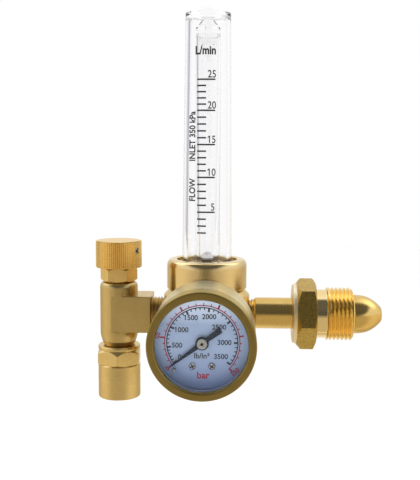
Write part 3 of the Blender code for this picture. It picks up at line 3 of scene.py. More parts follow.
import bpy
from mathutils import Euler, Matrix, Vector


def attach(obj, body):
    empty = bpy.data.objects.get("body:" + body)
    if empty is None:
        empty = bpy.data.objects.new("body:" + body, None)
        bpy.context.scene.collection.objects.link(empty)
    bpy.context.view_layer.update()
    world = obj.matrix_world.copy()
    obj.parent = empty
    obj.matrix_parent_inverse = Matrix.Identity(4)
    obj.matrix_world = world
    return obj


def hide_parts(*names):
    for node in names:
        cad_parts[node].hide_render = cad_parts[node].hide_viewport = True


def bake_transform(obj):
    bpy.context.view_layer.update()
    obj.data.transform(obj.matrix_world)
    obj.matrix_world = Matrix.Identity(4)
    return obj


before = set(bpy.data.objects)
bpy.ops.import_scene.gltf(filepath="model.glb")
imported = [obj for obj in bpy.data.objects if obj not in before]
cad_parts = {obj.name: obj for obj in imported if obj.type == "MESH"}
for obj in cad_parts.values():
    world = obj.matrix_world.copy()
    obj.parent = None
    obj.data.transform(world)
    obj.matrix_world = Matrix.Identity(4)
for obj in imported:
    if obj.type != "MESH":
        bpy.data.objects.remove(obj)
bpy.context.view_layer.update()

# Sizes are in millimetres until a piece is settled; the frame is in metres.
MM = 0.001
BODY_X = -80.6
VALVE_X = -121.6
GAUGE_Z = -4.0
CASE_BACK_Y = -23.0

UPRIGHT = (0.0, 0.0, 0.0)
ALONG_PIPE = (0.0, math.pi / 2, 0.0)
TO_FRONT = (math.pi / 2, 0.0, 0.0)

ON_BODY = (BODY_X, 0, 0)
ON_VALVE = (VALVE_X, 0, 0)
ON_GAUGE = (BODY_X, CASE_BACK_Y, GAUGE_Z)

MERGE = 0.000002
FINE = 128
ROUND = 96
SMALL = 48


def deselect():
    bpy.ops.object.select_all(action="DESELECT")


def pick_all():
    """Selects the whole mesh in edit mode."""
    bpy.ops.mesh.select_all(action="SELECT")


def apply_place():
    """Puts the selected piece's place into its mesh."""
    bpy.ops.object.transform_apply(location=True, rotation=True, scale=True)


def select_only(*pieces):
    deselect()
    for piece in pieces:
        piece.select_set(True)
    bpy.context.view_layer.objects.active = pieces[0]


def edit_all(piece):
    select_only(piece)
    bpy.ops.object.mode_set(mode="EDIT")
    bpy.ops.mesh.select_mode(type="VERT")
    pick_all()


def leave_edit():
    bpy.ops.object.mode_set(mode="OBJECT")


def close_mesh():
    """Merges doubled points of the mesh in edit mode and turns every face outwards."""
    pick_all()
    bpy.ops.mesh.remove_doubles(threshold=MERGE)
    bpy.ops.mesh.dissolve_degenerate(threshold=MERGE)
    pick_all()
    bpy.ops.mesh.normals_make_consistent(inside=False)


def settle(piece, at=(0, 0, 0), facing=UPRIGHT):
    """Puts a piece made about the origin in its place, with the place in its mesh."""
    piece.location = Vector(at) * MM
    piece.rotation_euler = facing
    select_only(piece)
    apply_place()
    return piece


def first_point(name):
    """One loose point at the origin, in edit mode, to draw a piece from."""
    deselect()
    bpy.ops.mesh.primitive_plane_add(size=0.01, location=(0, 0, 0))
    piece = bpy.context.object
    piece.name = name
    piece.data.name = name
    edit_all(piece)
    bpy.ops.mesh.merge(type="CENTER")
    return piece


def draw_line(points):
    """Moves the one loose point to the first place and extrudes it through the rest."""
    spot = Vector((0, 0, 0))
    for index, point in enumerate(points):
        step = Vector(point) * MM - spot
        spot = spot + step
        if index == 0:
            bpy.ops.transform.translate(value=step)
        else:
            bpy.ops.mesh.extrude_vertices_move(TRANSFORM_OT_translate={"value": step})


def soften(profile, size, count=3, ring=False):
    """The profile with its corners rounded; a third number on a point is its own corner size."""
    corners = [Vector(point[:2]) for point in profile]
    total = len(corners)
    line = []
    for index, corner in enumerate(corners):
        own = profile[index][2] if len(profile[index]) > 2 else size
        at_end = not ring and index in (0, total - 1)
        back = corners[index - 1] - corner
        ahead = corners[(index + 1) % total] - corner
        if at_end or own <= 0 or back.length < 0.02 or ahead.length < 0.02 or back.angle(ahead) > 2.9:
            line.append(tuple(corner))
            continue
        start = corner + back.normalized() * min(own, back.length * 0.48)
        end = corner + ahead.normalized() * min(own, ahead.length * 0.48)
        for step in range(count + 1):
            share = step / count
            point = start * (1 - share) ** 2 + corner * 2 * share * (1 - share) + end * share ** 2
            line.append(tuple(point))
    return line


def turned(name, profile, at=(0, 0, 0), facing=UPRIGHT, steps=ROUND, soft=0.25, ring=False, form=None, count=3):
    """A piece off the lathe: (radius, height) points spun about its own axis, and formed by a rule if given."""
    line = soften(profile, soft, count, ring) if soft else [point[:2] for point in profile]
    if ring:
        line.append(line[0])
    piece = first_point(name)
    draw_line([(radius, 0, height) for radius, height in line])
    pick_all()
    bpy.ops.mesh.spin(steps=steps, angle=2 * math.pi, center=(0, 0, 0), axis=(0, 0, 1))
    close_mesh()
    leave_edit()
    if form:
        for point in piece.data.vertices:
            radius = math.hypot(point.co.x, point.co.y) / MM
            if radius > 0.01:
                angle = math.atan2(point.co.y, point.co.x)
                scale = form(radius, point.co.z / MM, angle) / radius
                point.co.x *= scale
                point.co.y *= scale
    return settle(piece, at, facing)


def rows(radius, low, high, pitch, per_pitch=16):
    """Close points along a straight wall, for a thread to be cut in."""
    count = max(2, round(abs(high - low) / pitch * per_pitch))
    return [(radius, low + (high - low) * index / count, 0) for index in range(count + 1)]


def thread(crest, depth, pitch, low, high, fade=0.5, inside=False):
    """A right-hand thread with flat crests, cut into a wall of the crest's radius."""
    def cut_radius(radius, height, angle):
        if abs(radius - crest) > 0.01 or not low <= height <= high:
            return radius
        phase = (height / pitch - angle / (2 * math.pi)) % 1.0
        wave = min(1.0, max(0.0, (abs(2 * phase - 1) - 0.12) / 0.74))
        ends = min(1.0, (height - low) / (fade * pitch), (high - height) / (fade * pitch))
        cut = depth * wave * max(0.0, ends)
        return radius + cut if inside else radius - cut
    return cut_radius


def combine(piece, other, operation):
    tool = piece.modifiers.new("fit", "BOOLEAN")
    tool.operation = operation
    tool.object = other
    tool.solver = "EXACT"
    select_only(piece)
    bpy.ops.object.modifier_apply(modifier=tool.name)
    bpy.data.objects.remove(other, do_unlink=True)
    return piece


def cut(piece, *tools):
    for tool in tools:
        combine(piece, tool, "DIFFERENCE")
    return piece


def drill(radius, low, high, at=(0, 0, 0), facing=UPRIGHT, steps=SMALL):
    return turned("drill", [(0, low), (radius, low), (radius, high), (0, high)], at, facing, steps, soft=0)


def ease_edges(piece, width, segments=2, angle=35.0):
    """Breaks the sharp edges of a piece."""
    edge = piece.modifiers.new("ease", "BEVEL")
    edge.width = width * MM
    edge.segments = segments
    edge.limit_method = "ANGLE"
    edge.angle_limit = math.radians(angle)
    edge.use_clamp_overlap = True
    edge.miter_outer = "MITER_ARC"
    select_only(piece)
    bpy.ops.object.modifier_apply(modifier=edge.name)
    return piece


def tidy(piece):
    edit_all(piece)
    close_mesh()
    leave_edit()
    return piece


def box(name, low, high, ease=0.0):
    """A block between two corners, with its edges eased."""
    low, high = Vector(low), Vector(high)
    deselect()
    bpy.ops.mesh.primitive_cube_add(size=1, location=(low + high) / 2 * MM, scale=(high - low) * MM)
    piece = bpy.context.object
    piece.name = name
    apply_place()
    if ease:
        edit_all(piece)
        bpy.ops.mesh.select_mode(type="EDGE")
        pick_all()
        bpy.ops.mesh.bevel(offset=ease * MM, segments=3, affect="EDGES")
        leave_edit()
    return piece


def hexagon(name, corner, low, high, turn, chamfer=(30, 30), face_share=0.97, at=(0, 0, 0), facing=UPRIGHT):
    """A hexagon whose corners are turned off to a cone at both ends, with one corner at the given turn."""
    deselect()
    bpy.ops.mesh.primitive_cylinder_add(vertices=6, radius=corner * MM, depth=(high - low) * MM,
                                        location=(0, 0, (low + high) / 2 * MM),
                                        rotation=(0, 0, math.radians(turn - 90)))
    piece = bpy.context.object
    piece.name = name
    apply_place()
    rim = corner * math.cos(math.pi / 6) * face_share
    wide = corner + 1.0
    rise, fall = ((wide - rim) * math.tan(math.radians(angle)) for angle in chamfer)
    cone = [(0, low), (rim, low), (wide, low + rise), (wide, high - fall), (rim, high), (0, high)]
    combine(piece, turned("corner_cone", cone, steps=ROUND, soft=0), "INTERSECT")
    return settle(piece, at, facing)


# The pressure body and the fittings screwed into it.

def make_body():
    outside = [(0, 15), (13.5, 15, 0.4), (13.5, 11.5, 0.3), (17.1, 11.5, 0.5), (19.8, 8.8, 0.5),
               (19.8, -22.3, 0.3), (19.1, -23, 0.3), (0, -23)]
    body = turned("body_shell", outside, ON_BODY, steps=FINE)
    chamber = [(0, 3), (4, 3), (4, -9.3), (10.5, -9.3), (10.5, -16), (13.2, -16), (13.2, -26), (0, -26)]
    inlet = [(0, 23), (6.75, 23), (6.75, 14), (1.7, 14), (1.7, 1), (0, 1)]
    outlet = [(0, -8), (2.2, -8), (2.2, -12.6), (7.45, -12.6), (7.45, -23), (0, -23)]
    gauge = [(0, 23), (9.5, 23), (9.5, 17), (6.5, 17), (6.5, 11.9), (1.2, 11.9), (1.2, 2), (0, 2)]
    return cut(
        body,
        turned("chamber_bore", chamber, ON_BODY, steps=SMALL, soft=0),
        turned("inlet_bore", inlet, ON_BODY, ALONG_PIPE, SMALL, soft=0),
        turned("outlet_bore", outlet, ON_BODY, ALONG_PIPE, SMALL, soft=0),
        turned("gauge_bore", gauge, (BODY_X, 0, GAUGE_Z), TO_FRONT, SMALL, soft=0),
        drill(4.35, 9.5, 18, ON_BODY),
        drill(2.75, -24, -15.8, (BODY_X, 0, 6.2), TO_FRONT),
    )


def make_collar():
    wall = [(13.8, 25.2, 0.35), (18.4, 25.2, 3.4), (18.4, 11.8, 0.45), (13.8, 11.8, 0.3)]
    return turned("collar_ring", wall, ON_BODY, steps=FINE, ring=True, count=8)


def make_cap():
    cap = ease_edges(hexagon("spring_cap", 16.6, -28.3, -23.3, 0, at=ON_BODY), 0.25, angle=20)
    stub = [(0, -25), (12.9, -25), *rows(12.9, -23.2, -16.9, 1.5, 10), (12.3, -16.3), (0, -16.3)]
    screw = thread(12.9, 0.7, 1.5, -22.5, -16.9)
    combine(cap, turned("cap_stub", stub, ON_BODY, soft=0, form=screw), "UNION")
    dimple = [(0, -27.2), (1.3, -28.4), (1.3, -29), (0, -29)]
    return cut(cap, drill(10.8, -26.3, -15, ON_BODY), turned("dimple", dimple, ON_BODY, steps=SMALL, soft=0))


def make_spring(name, radius, wire, low, high, turns):
    """A coil of round wire, wound between two heights on the body's axis."""
    deselect()
    bpy.ops.mesh.primitive_circle_add(vertices=16, radius=wire / 2 * MM, rotation=TO_FRONT,
                                      location=(radius * MM, 0, (low + wire / 2) * MM))
    coil = bpy.context.object
    coil.name = name
    apply_place()
    wind = coil.modifiers.new("wind", "SCREW")
    wind.axis = "Z"
    wind.iterations = turns
    wind.screw_offset = (high - low - wire) / turns * MM
    wind.steps = wind.render_steps = SMALL
    bpy.ops.object.modifier_apply(modifier=wind.name)
    edit_all(coil)
    bpy.ops.mesh.fill_holes(sides=0)
    close_mesh()
    leave_edit()
    return settle(coil, ON_BODY)


def make_plug():
    at = (BODY_X, 0, 6.2)
    plug = turned("back_plug", [(0, -19.6), (2.4, -19.6, 0.3), (2.4, -16.1), (0, -16.1)], at, TO_FRONT, SMALL)
    return cut(plug, hexagon("key_hole", 1.5, -20.6, -17.8, 0, face_share=1.2, at=at, facing=TO_FRONT))


def nose_profile(count=10):
    """The rounded end that seats in the cylinder valve, from its shoulder to its tip."""
    points = []
    for index in range(count + 1):
        share = index / count
        points.append((8.95 - 5.75 * share ** 2.6, 67.8 + 12.8 * share, 0.3))
    return points


def make_nipple():
    outside = [(1.7, 80.6, 0.2), *reversed(nose_profile(16)), (8.7, 67.4, 0.1), (7.2, 67.4, 0.2)]
    outside += [(7.2, 22.6, 0.2), (6.4, 21.8, 0.1), *rows(6.4, 21.6, 14.8, 1.4, 12), (6.0, 14.3)]
    outside += [(3.6, 14.3), (3.6, 22.6), (1.7, 22.6)]
    screw = thread(6.4, 0.75, 1.4, 14.8, 21.6)
    return turned("inlet_pipe", outside, ON_BODY, ALONG_PIPE, ring=True, form=screw)


def make_nut():
    nut = hexagon("cylinder_nut_hexagon", 16.5, 41.3, 50.2, 42.1, (40, 25), 0.985, ON_BODY, ALONG_PIPE)
    face = [(0, 39.7), (13.5, 39.7, 0.5), (14.0, 41.4, 0.1), (13.9, 42), (0, 42)]
    combine(nut, turned("washer_face", face, ON_BODY, ALONG_PIPE), "UNION")
    ease_edges(nut, 0.22, angle=20)
    crest, pitch, end = 12.25, 1.814, 67.1
    screw = thread(crest, 1.1, pitch, 55.4, 67.4)

    def screw_and_end(radius, height, angle):
        return min(screw(radius, height, angle), 11.15 + max(0.0, end - height) * 1.15)
    stub = [(0, 46), (11.2, 46), (11.2, 55.1, 0.4), (crest, 55.5, 0.1),
            *rows(crest, 55.7, end, pitch), (0, end)]
    combine(nut, turned("nut_stub", stub, ON_BODY, ALONG_PIPE, FINE, form=screw_and_end), "UNION")
    bore = [(0, 38), (9.0, 38), (9.0, 39.7), (7.6, 41.1), (7.6, 66.4), (8.5, 67.3), (8.5, 69), (0, 69)]
    return cut(nut, turned("nut_bore", bore, ON_BODY, ALONG_PIPE, soft=0))


# The needle valve, its knob and the hose outlet.

def make_valve():
    barrel = [(0, 14.2), (8.75, 14.2, 2.4), (8.75, -10.6, 1.2), (7.9, -13.5, 0.1), (0, -13.5)]
    valve = turned("valve_shell", barrel, ON_VALVE, steps=FINE, count=8)
    left, right = VALVE_X - 11, BODY_X - 25.4
    cut(valve, box("front_flat", (left, -12, -8.5), (VALVE_X + 11, -8.4, 8.3)),
        box("back_flat", (left, 8.4, -8.5), (VALVE_X + 11, 12, 8.3)))
    combine(valve, box("side_block", (VALVE_X, -8.4, -8.5), (right, 8.4, 8.3), 0.35), "UNION")
    stem = [(0, 16), (6.35, 16), (6.35, 6.5), (3.65, 6.5), (3.65, -1.2), (1.4, -1.2), (1.4, -7.3),
            (6.55, -7.3), (6.55, -15), (0, -15)]
    return cut(valve, turned("stem_bore", stem, ON_VALVE, steps=SMALL, soft=0),
               drill(6.6, -32.9, -23, ON_BODY, ALONG_PIPE))


def make_link():
    wall = [(2.2, -12.9), *rows(7.1, -13.2, -25.0, 1.4, 12), (6.2, -25.2), (6.2, -32.6), (2.2, -32.6)]
    screw = thread(7.1, 0.8, 1.4, -25.0, -13.2)
    return turned("link_screw", wall, ON_BODY, ALONG_PIPE, soft=0, ring=True, form=screw)


def make_packing_nut():
    nut = ease_edges(hexagon("stem_nut", 8.6, 14.5, 20.8, 2.5, at=ON_VALVE), 0.18, angle=20)
    stub = [(0, 16), *rows(6.0, 15.4, 9.8, 1.0, 10), (5.5, 9.3), (0, 9.3)]
    screw = thread(6.0, 0.5, 1.0, 9.8, 14.4)
    combine(nut, turned("stub", stub, ON_VALVE, steps=SMALL, soft=0, form=screw), "UNION")
    return cut(nut, drill(2.95, 8, 22, ON_VALVE))


KNURLS = 72


def make_knob():
    def knurl(radius, height, angle):
        depth = 0.5 * min(1.0, max(0.0, (radius - 9.9) / 0.6))
        ridge = abs(2 * ((KNURLS * angle / (2 * math.pi)) % 1.0) - 1)
        return radius - depth * min(1.0, max(0.0, (ridge - 0.35) / 0.5))
    wall = [(0, 33.4), (10.2, 33.4, 0.2), (10.6, 33.0, 0.15), (10.6, 21.15, 0.1), (10.3, 20.95, 0.1),
            (8.9, 20.95), (8.9, 21.8), (2.9, 21.8), (2.9, 31.2), (0, 31.2)]
    knob = turned("knurled_knob", wall, ON_VALVE, steps=8 * KNURLS, form=knurl)
    return cut(knob, drill(1.4, 0, 12, SCREW_AT, SCREW_OUT))


SCREW_AT = (VALVE_X, 0, 29.0)
SCREW_OUT = (math.pi / 2, 0.0, math.radians(62))


def make_set_screw():
    wall = [(0, 2.9), (1.2, 2.9), (1.2, 10.2, 0.2), (0, 10.2)]
    screw = turned("grub_screw", wall, SCREW_AT, SCREW_OUT, SMALL)
    return cut(screw, hexagon("key_hole", 0.7, 8.4, 11, 0, face_share=1.2, at=SCREW_AT, facing=SCREW_OUT))


def make_washer():
    wall = [(6.5, -15.5), (7.0, -15.5, 0.1), (7.85, -13.6, 0.1), (6.5, -13.6)]
    return turned("seal_washer", wall, ON_VALVE, ring=True)


def make_outlet():
    wall = [(2.5, -7.6), (6.2, -7.6), (6.2, -15.6), (9.8, -15.6, 0.6), (9.8, -17.3, 0.4), (9.35, -17.6),
            (9.35, -24.4), (9.85, -24.7), (9.85, -40.3, 0.9), (8.0, -40.3, 0.2),
            *rows(7.25, -39.5, -27.5, 1.41, 12), (7.25, -26.3), (2.5, -24.2)]
    screw = thread(7.25, 0.65, 1.41, -39.5, -27.5, fade=0.2, inside=True)
    outlet = turned("outlet_barrel", wall, ON_VALVE, steps=FINE, ring=True, form=screw)
    nut = hexagon("outlet_hexagon", 10.94, -24.6, -17.4, 32.7, (30, 48), at=ON_VALVE)
    ease_edges(nut, 0.2, angle=20)
    cut(nut, drill(3, -26, -16, ON_VALVE))
    return combine(outlet, nut, "UNION")


# The flow tube.
COVER_FOOT = 18.8
COVER_FOOT_RADIUS = 11.4


def cover_radius(height):
    """The cover narrows a little towards its top."""
    return COVER_FOOT_RADIUS - 1.2 * (height - COVER_FOOT) / 118.6


def make_cover():
    wall = [(0, 138.0), (8.7, 138.0, 0.3), (cover_radius(135.7), 135.7, 0.4),
            (COVER_FOOT_RADIUS, COVER_FOOT, 0.3), (12.8, COVER_FOOT, 0.2), (12.8, 16.8, 0.2),
            (9.3, 16.8, 0.2), (8.12, 133.2, 0.6), (0, 133.2)]
    return turned("clear_cover_tube", wall, ON_BODY, steps=FINE)


def make_metering_tube():
    wall = [(5.8, 125.6, 0.3), (5.8, 18.7, 0.3), (3.4, 18.7, 0.2), (4.6, 125.6, 0.2)]
    return turned("clear_float_tube", wall, ON_BODY, ring=True)


def make_stop():
    wall = [(1.2, 132.9), (2.6, 132.9), (5.5, 129.4), (5.5, 125.9), (4.0, 125.9), (4.0, 121.9), (1.2, 121.9)]
    stop = turned("clear_top_stop", wall, ON_BODY, ring=True)
    return cut(stop, drill(1.0, -8, 8, (BODY_X, 0, 127.6), ALONG_PIPE))


def make_gland():
    wall = [(11.75, 19.1), (13.5, 19.1), (13.5, 22.7, 0.4), (11.75, 22.7, 0.4)]
    ring = turned("clamp_ring", wall, ON_BODY, steps=FINE, ring=True)
    return cut(ring, *(drill(0.7, 20.5, 24, (BODY_X + across, 0, 0)) for across in (-12.6, 12.6)))


def make_ball():
    radius, middle, steps = 3.05, 25.65, 32
    half = [(radius * math.sin(math.pi * step / steps), middle + radius * math.cos(math.pi * step / steps))
            for step in range(steps + 1)]
    return turned("steel_float", half, ON_BODY, steps=64, soft=0)


# The contents gauge. Heights are from the back of its case towards the front.
CASE_SCREW_ACROSS = 10.4
DIAL_SCREW_ACROSS = 4.0
DIAL_SCREW_UP = -9.8


def on_gauge(across, up):
    return (BODY_X + across, CASE_BACK_Y, GAUGE_Z + up)


def make_case():
    wall = [(20, 22.5), (21.1, 22.5), (21.1, 19), (22.2, 19, 0.2), (22.4, -1.8, 0.8), (20.6, -1.8, 0.4),
            (20.6, 0), (8.4, 0), (8.4, 2), (20, 2)]
    cup = turned("gauge_cup", wall, ON_GAUGE, TO_FRONT, FINE, ring=True, count=6)
    holes = [on_gauge(across, 0) for across in (-CASE_SCREW_ACROSS, CASE_SCREW_ACROSS)]
    return cut(cup, *(drill(1.1, -1, 3, hole, TO_FRONT) for hole in holes))


def make_bezel():
    wall = [(19, 28.7, 0.2), (19.5, 29.4, 0.3), (22.4, 29.4, 0.7), (22.4, 19.9, 0.3), (21.4, 19.9),
            (21.4, 26.7), (19, 26.7)]
    return turned("gauge_ring", wall, ON_GAUGE, TO_FRONT, 160, ring=True, count=5)


def make_lens():
    wall = [(0, 24.4), (21.1, 24.4), (21.1, 26.4), (0, 26.4)]
    return turned("gauge_window", wall, ON_GAUGE, TO_FRONT, FINE)


def make_dial():
    wall = [(1.2, 20.1), (19.7, 20.1), (19.7, 20.7), (1.2, 20.7)]
    face = turned("gauge_face", wall, ON_GAUGE, TO_FRONT, FINE, soft=0.15, ring=True)
    holes = [on_gauge(across, DIAL_SCREW_UP) for across in (-DIAL_SCREW_ACROSS, DIAL_SCREW_ACROSS)]
    return cut(face, *(drill(1.0, 19, 22, hole, TO_FRONT) for hole in holes))


def turn_point(across, up, degrees):
    angle = math.radians(degrees)
    return (across * math.cos(angle) - up * math.sin(angle), across * math.sin(angle) + up * math.cos(angle))


def raise_face(height):
    """Thickens the flat face in edit mode into a closed plate."""
    pick_all()
    bpy.ops.mesh.remove_doubles(threshold=MERGE)
    bpy.ops.mesh.extrude_region_move(TRANSFORM_OT_translate={"value": (0, 0, height * MM)})
    close_mesh()
    leave_edit()


POINTER_ZERO = 217


def make_pointer():
    outline = [(16.3, -0.25), (16.3, 0.25), (2.2, 0.95), (-2.2, 0.95), (-9.2, 1.25), (-9.5, 1.05),
               (-9.5, -1.05), (-9.2, -1.25), (-2.2, -0.95), (2.2, -0.95)]
    hand = first_point("gauge_pointer")
    line = [(*turn_point(across, up, POINTER_ZERO), 22.0) for across, up in outline]
    draw_line([*line, line[0]])
    pick_all()
    bpy.ops.mesh.remove_doubles(threshold=MERGE)
    bpy.ops.mesh.edge_face_add()
    raise_face(0.4)
    boss = [(0.85, 21.9), (2.75, 21.9), (2.75, 22.65), (0.85, 22.65)]
    combine(hand, turned("boss", boss, steps=SMALL, soft=0.1, ring=True), "UNION")
    cut(hand, drill(0.85, 21, 23))
    ease_edges(hand, 0.06, angle=40)
    return settle(hand, ON_GAUGE, TO_FRONT)


def make_hub():
    wall = [(0.66, 22.7), (2.2, 22.7), (2.2, 23.7, 0.25), (1.1, 23.9, 0.1), (0.66, 23.9, 0.05)]
    return turned("pointer_cap", wall, ON_GAUGE, TO_FRONT, SMALL, soft=0.1, ring=True)


def make_stop_pin():
    across, up = turn_point(16, 0, 224.3)
    wall = [(0, 20.75), (0.5, 20.75), (0.6, 20.95), (0.6, 23.4, 0.4), (0, 23.4)]
    return turned("zero_pin", wall, on_gauge(across, up), TO_FRONT, SMALL, soft=0.08)


def make_dial_screws():
    """One cross-slotted screw and its copy, each left at its own turn."""
    head = [(0, 21.65), (1.1, 21.62, 0.1), (1.4, 21.35, 0.1), (1.4, 21.0), (0.7, 21.0),
            (0.7, 18.6), (0, 18.6)]
    left = turned("cross_screw_left", head, steps=SMALL, soft=0.1)
    cut(left, box("slot", (-1.05, -0.3, 21.1), (1.05, 0.3, 23)),
        box("slot", (-0.3, -1.05, 21.1), (0.3, 1.05, 23)))
    select_only(left)
    bpy.ops.object.duplicate()
    right = bpy.context.object
    right.name = "cross_screw_right"
    for screw, across, turn in ((left, -DIAL_SCREW_ACROSS, 24), (right, DIAL_SCREW_ACROSS, -38)):
        settle(screw, facing=(0, 0, math.radians(turn)))
        settle(screw, on_gauge(across, DIAL_SCREW_UP), TO_FRONT)
    return left, right


# Printed marks: thin closed films on the dial and on the tube cover.
PRINT_LOW = 20.68
PRINT_HIGH = 20.75
BLACK_TURNS = (216.3, 188.0, 153.6, 116.7, 78.7, 38.3, 0.2, -37.8)
RED_TURNS = (217.6, 172.9, 122.0, 65.5, 10.2, -43.9)


def printed_arc(name, inner, outer, turns):
    arc = first_point(name)
    ends = [turn_point(radius, 0, turns[0]) for radius in (inner, outer)]
    draw_line([(*spot, PRINT_LOW) for spot in ends])
    pick_all()
    bpy.ops.mesh.spin(steps=128, angle=math.radians(turns[0] - turns[-1]), center=(0, 0, 0), axis=(0, 0, 1))
    raise_face(PRINT_HIGH - PRINT_LOW)
    return arc


def bars(name, marks):
    """Thin straight bars, each given by its middle, size and turn, in one piece."""
    deselect()
    for index, (middle, size, turn) in enumerate(marks):
        bpy.ops.mesh.primitive_cube_add(size=1, location=Vector(middle) * MM, scale=Vector(size) * MM,
                                        rotation=(0, 0, math.radians(turn)))
        if index == 0:
            piece = bpy.context.object
            piece.name = name
            apply_place()
            bpy.ops.object.mode_set(mode="EDIT")
    pick_all()
    leave_edit()
    return piece


def dial_ticks(name, turns, inner, outer, major_inner, major_outer, width, major_width):
    """Five spaces between one numbered mark and the next."""
    marks = []
    thick = PRINT_HIGH - PRINT_LOW
    for index in range(5 * (len(turns) - 1) + 1):
        start = turns[index // 5]
        end = turns[min(index // 5 + 1, len(turns) - 1)]
        turn = start + (end - start) * (index % 5) / 5
        major = index % 5 == 0
        near, far = (major_inner, major_outer) if major else (inner, outer)
        spot = turn_point((near + far) / 2, 0, turn)
        size = (far - near, major_width if major else width, thick)
        marks.append(((*spot, (PRINT_LOW + PRINT_HIGH) / 2), size, turn))
    return bars(name, marks)


def add_flag(word, size, thickness):
    """The short slanted stroke at the top of a leading 1."""
    left = min(point.co.x for point in word.data.vertices) / MM
    top = max(point.co.y for point in word.data.vertices) / MM
    middle = (left - 0.05 * size, top - 0.11 * size, 0)
    flag = bars("flag", [(middle, (0.27 * size, 0.1 * size, thickness), 42)])
    select_only(word, flag)
    bpy.ops.object.join()


def lettering(name, words, low, thickness, narrow=1.0, weight=0.012):
    """Raised words in one piece: each is a text, its size, its middle and its turn."""
    parts = []
    for text, size, across, up, turn in words:
        deselect()
        bpy.ops.object.text_add(location=(0, 0, 0))
        word = bpy.context.object
        word.data.body = text
        word.data.size = size * MM
        word.data.align_x = "CENTER"
        word.data.align_y = "CENTER"
        word.data.extrude = thickness / 2 * MM
        word.data.offset = weight * size * MM
        word.data.resolution_u = 5
        bpy.ops.object.convert(target="MESH")
        word = bpy.context.object
        if text.startswith("1"):
            add_flag(word, size, thickness)
        word.scale.x = narrow
        settle(word, (across, up, low + thickness / 2), (0, 0, math.radians(turn)))
        parts.append(word)
    select_only(*parts)
    if len(parts) > 1:
        bpy.ops.object.join()
    piece = bpy.context.object
    piece.name = name
    return tidy(piece)


def make_dial_print():
    """The black and the red scale of the dial."""
    black = [printed_arc("black_arc", 14.42, 14.86, BLACK_TURNS),
             dial_ticks("black_ticks", BLACK_TURNS, 13.6, 14.7, 13.0, 14.7, 0.42, 0.8)]
    numbers = [("0", -9.3, -6.2), ("500", -10.4, -1.3), ("1000", -8.6, 5.2), ("1500", -4.75, 10.3),
               ("2000", 2.8, 10.8), ("2500", 6.9, 6.5), ("3000", 9.1, 0.1), ("3500", 7.7, -5.8)]
    words = [(text, 2.95, across, up, 0) for text, across, up in numbers]
    words.append(("lb/in²", 3.2, -0.2, -5.6, 0))
    black.append(lettering("black_numbers", words, PRINT_LOW, PRINT_HIGH - PRINT_LOW, weight=0.022))
    red = [printed_arc("red_arc", 15.3, 15.7, RED_TURNS),
           dial_ticks("red_ticks", RED_TURNS, 15.45, 16.5, 15.45, 17.3, 0.36, 0.7)]
    words = [("0", 2.6, -14.3, -11.1, 38), ("50", 2.7, -18.1, 2.7, 90), ("250", 2.6, 13.6, -12.15, 42),
             ("bar", 3.9, 0.4, -13.8, 0)]
    red.append(lettering("red_numbers", words, PRINT_LOW, PRINT_HIGH - PRINT_LOW, weight=0.022))
    prints = []
    for name, parts in (("dial_black_scale", black), ("dial_red_scale", red)):
        select_only(*parts)
        bpy.ops.object.join()
        piece = bpy.context.object
        piece.name = name
        prints.append(settle(piece, ON_GAUGE, TO_FRONT))
    return prints


FILM = 0.05


def wrap_on_cover(piece):
    """Lays a flat print, drawn across and up, round the front of the tube cover."""
    for point in piece.data.vertices:
        across, up, lift = point.co / MM
        reach = cover_radius(up) + FILM / 2 + lift
        point.co = Vector((across, -math.sqrt(reach ** 2 - across ** 2), up)) * MM
    tidy(piece)
    return settle(piece, ON_BODY)


TUBE_MAJORS = {25: 105.9, 20: 92.4, 15: 77.4, 10: 62.9, 5: 47.4, 2: 38.1}


def flow_height(flow):
    """Height of a flow mark, between the numbered ones above and below it."""
    below = max(mark for mark in TUBE_MAJORS if mark <= flow)
    above = min(mark for mark in TUBE_MAJORS if mark >= flow)
    if below == above:
        return TUBE_MAJORS[flow]
    share = (flow - below) / (above - below)
    return TUBE_MAJORS[below] + (TUBE_MAJORS[above] - TUBE_MAJORS[below]) * share


def make_tube_print():
    marks = []
    for flow in range(2, 26):
        left = -4.4 + 0.3 * (25 - flow) / 23
        right = 3.7 if flow % 5 == 0 else left + 4.0
        marks.append((((left + right) / 2, flow_height(flow), FILM / 2), (right - left, 0.7, FILM), 0))
    ticks = bars("tube_ticks", marks)
    edit_all(ticks)
    bpy.ops.mesh.subdivide(number_cuts=7)
    leave_edit()
    words = []
    for flow in (25, 20, 15, 10, 5):
        across = 2.2 if flow > 5 else 2.85
        words.append((str(flow), 4.6, across, flow_height(flow) + 2.15, 0))
    numbers = lettering("tube_numbers", words, 0.0, FILM, 0.82)
    unit = lettering("tube_unit", [("L/min", 5.0, -0.7, 118.3, 0)], 0.0, FILM, 0.82, weight=0.036)
    words = [("FLOW", 3.8, -6.3, 57.2, 90), ("INLET 350 kPa", 3.8, -6.3, 81.0, 90)]
    upright = lettering("tube_words", words, 0.0, FILM, 0.95, weight=0.032)
    select_only(ticks, numbers, unit, upright)
    bpy.ops.object.join()
    ticks.name = "tube_scale"
    return wrap_on_cover(ticks)


def add(tree, kind, inputs=None, **settings):
    """A shader node with its settings, its sockets given a value or joined to another node."""
    made = tree.nodes.new(kind)
    for name, value in settings.items():
        setattr(made, name, value)
    for key, value in (inputs or {}).items():
        if isinstance(value, bpy.types.NodeSocket):
            tree.links.new(value, made.inputs[key])
        else:
            made.inputs[key].default_value = value
    return made


def sum_of(tree, first, second, kind="ADD"):
    return add(tree, "ShaderNodeMath", {0: first, 1: second}, operation=kind).outputs[0]


def product(tree, first, second):
    return sum_of(tree, first, second, "MULTIPLY")


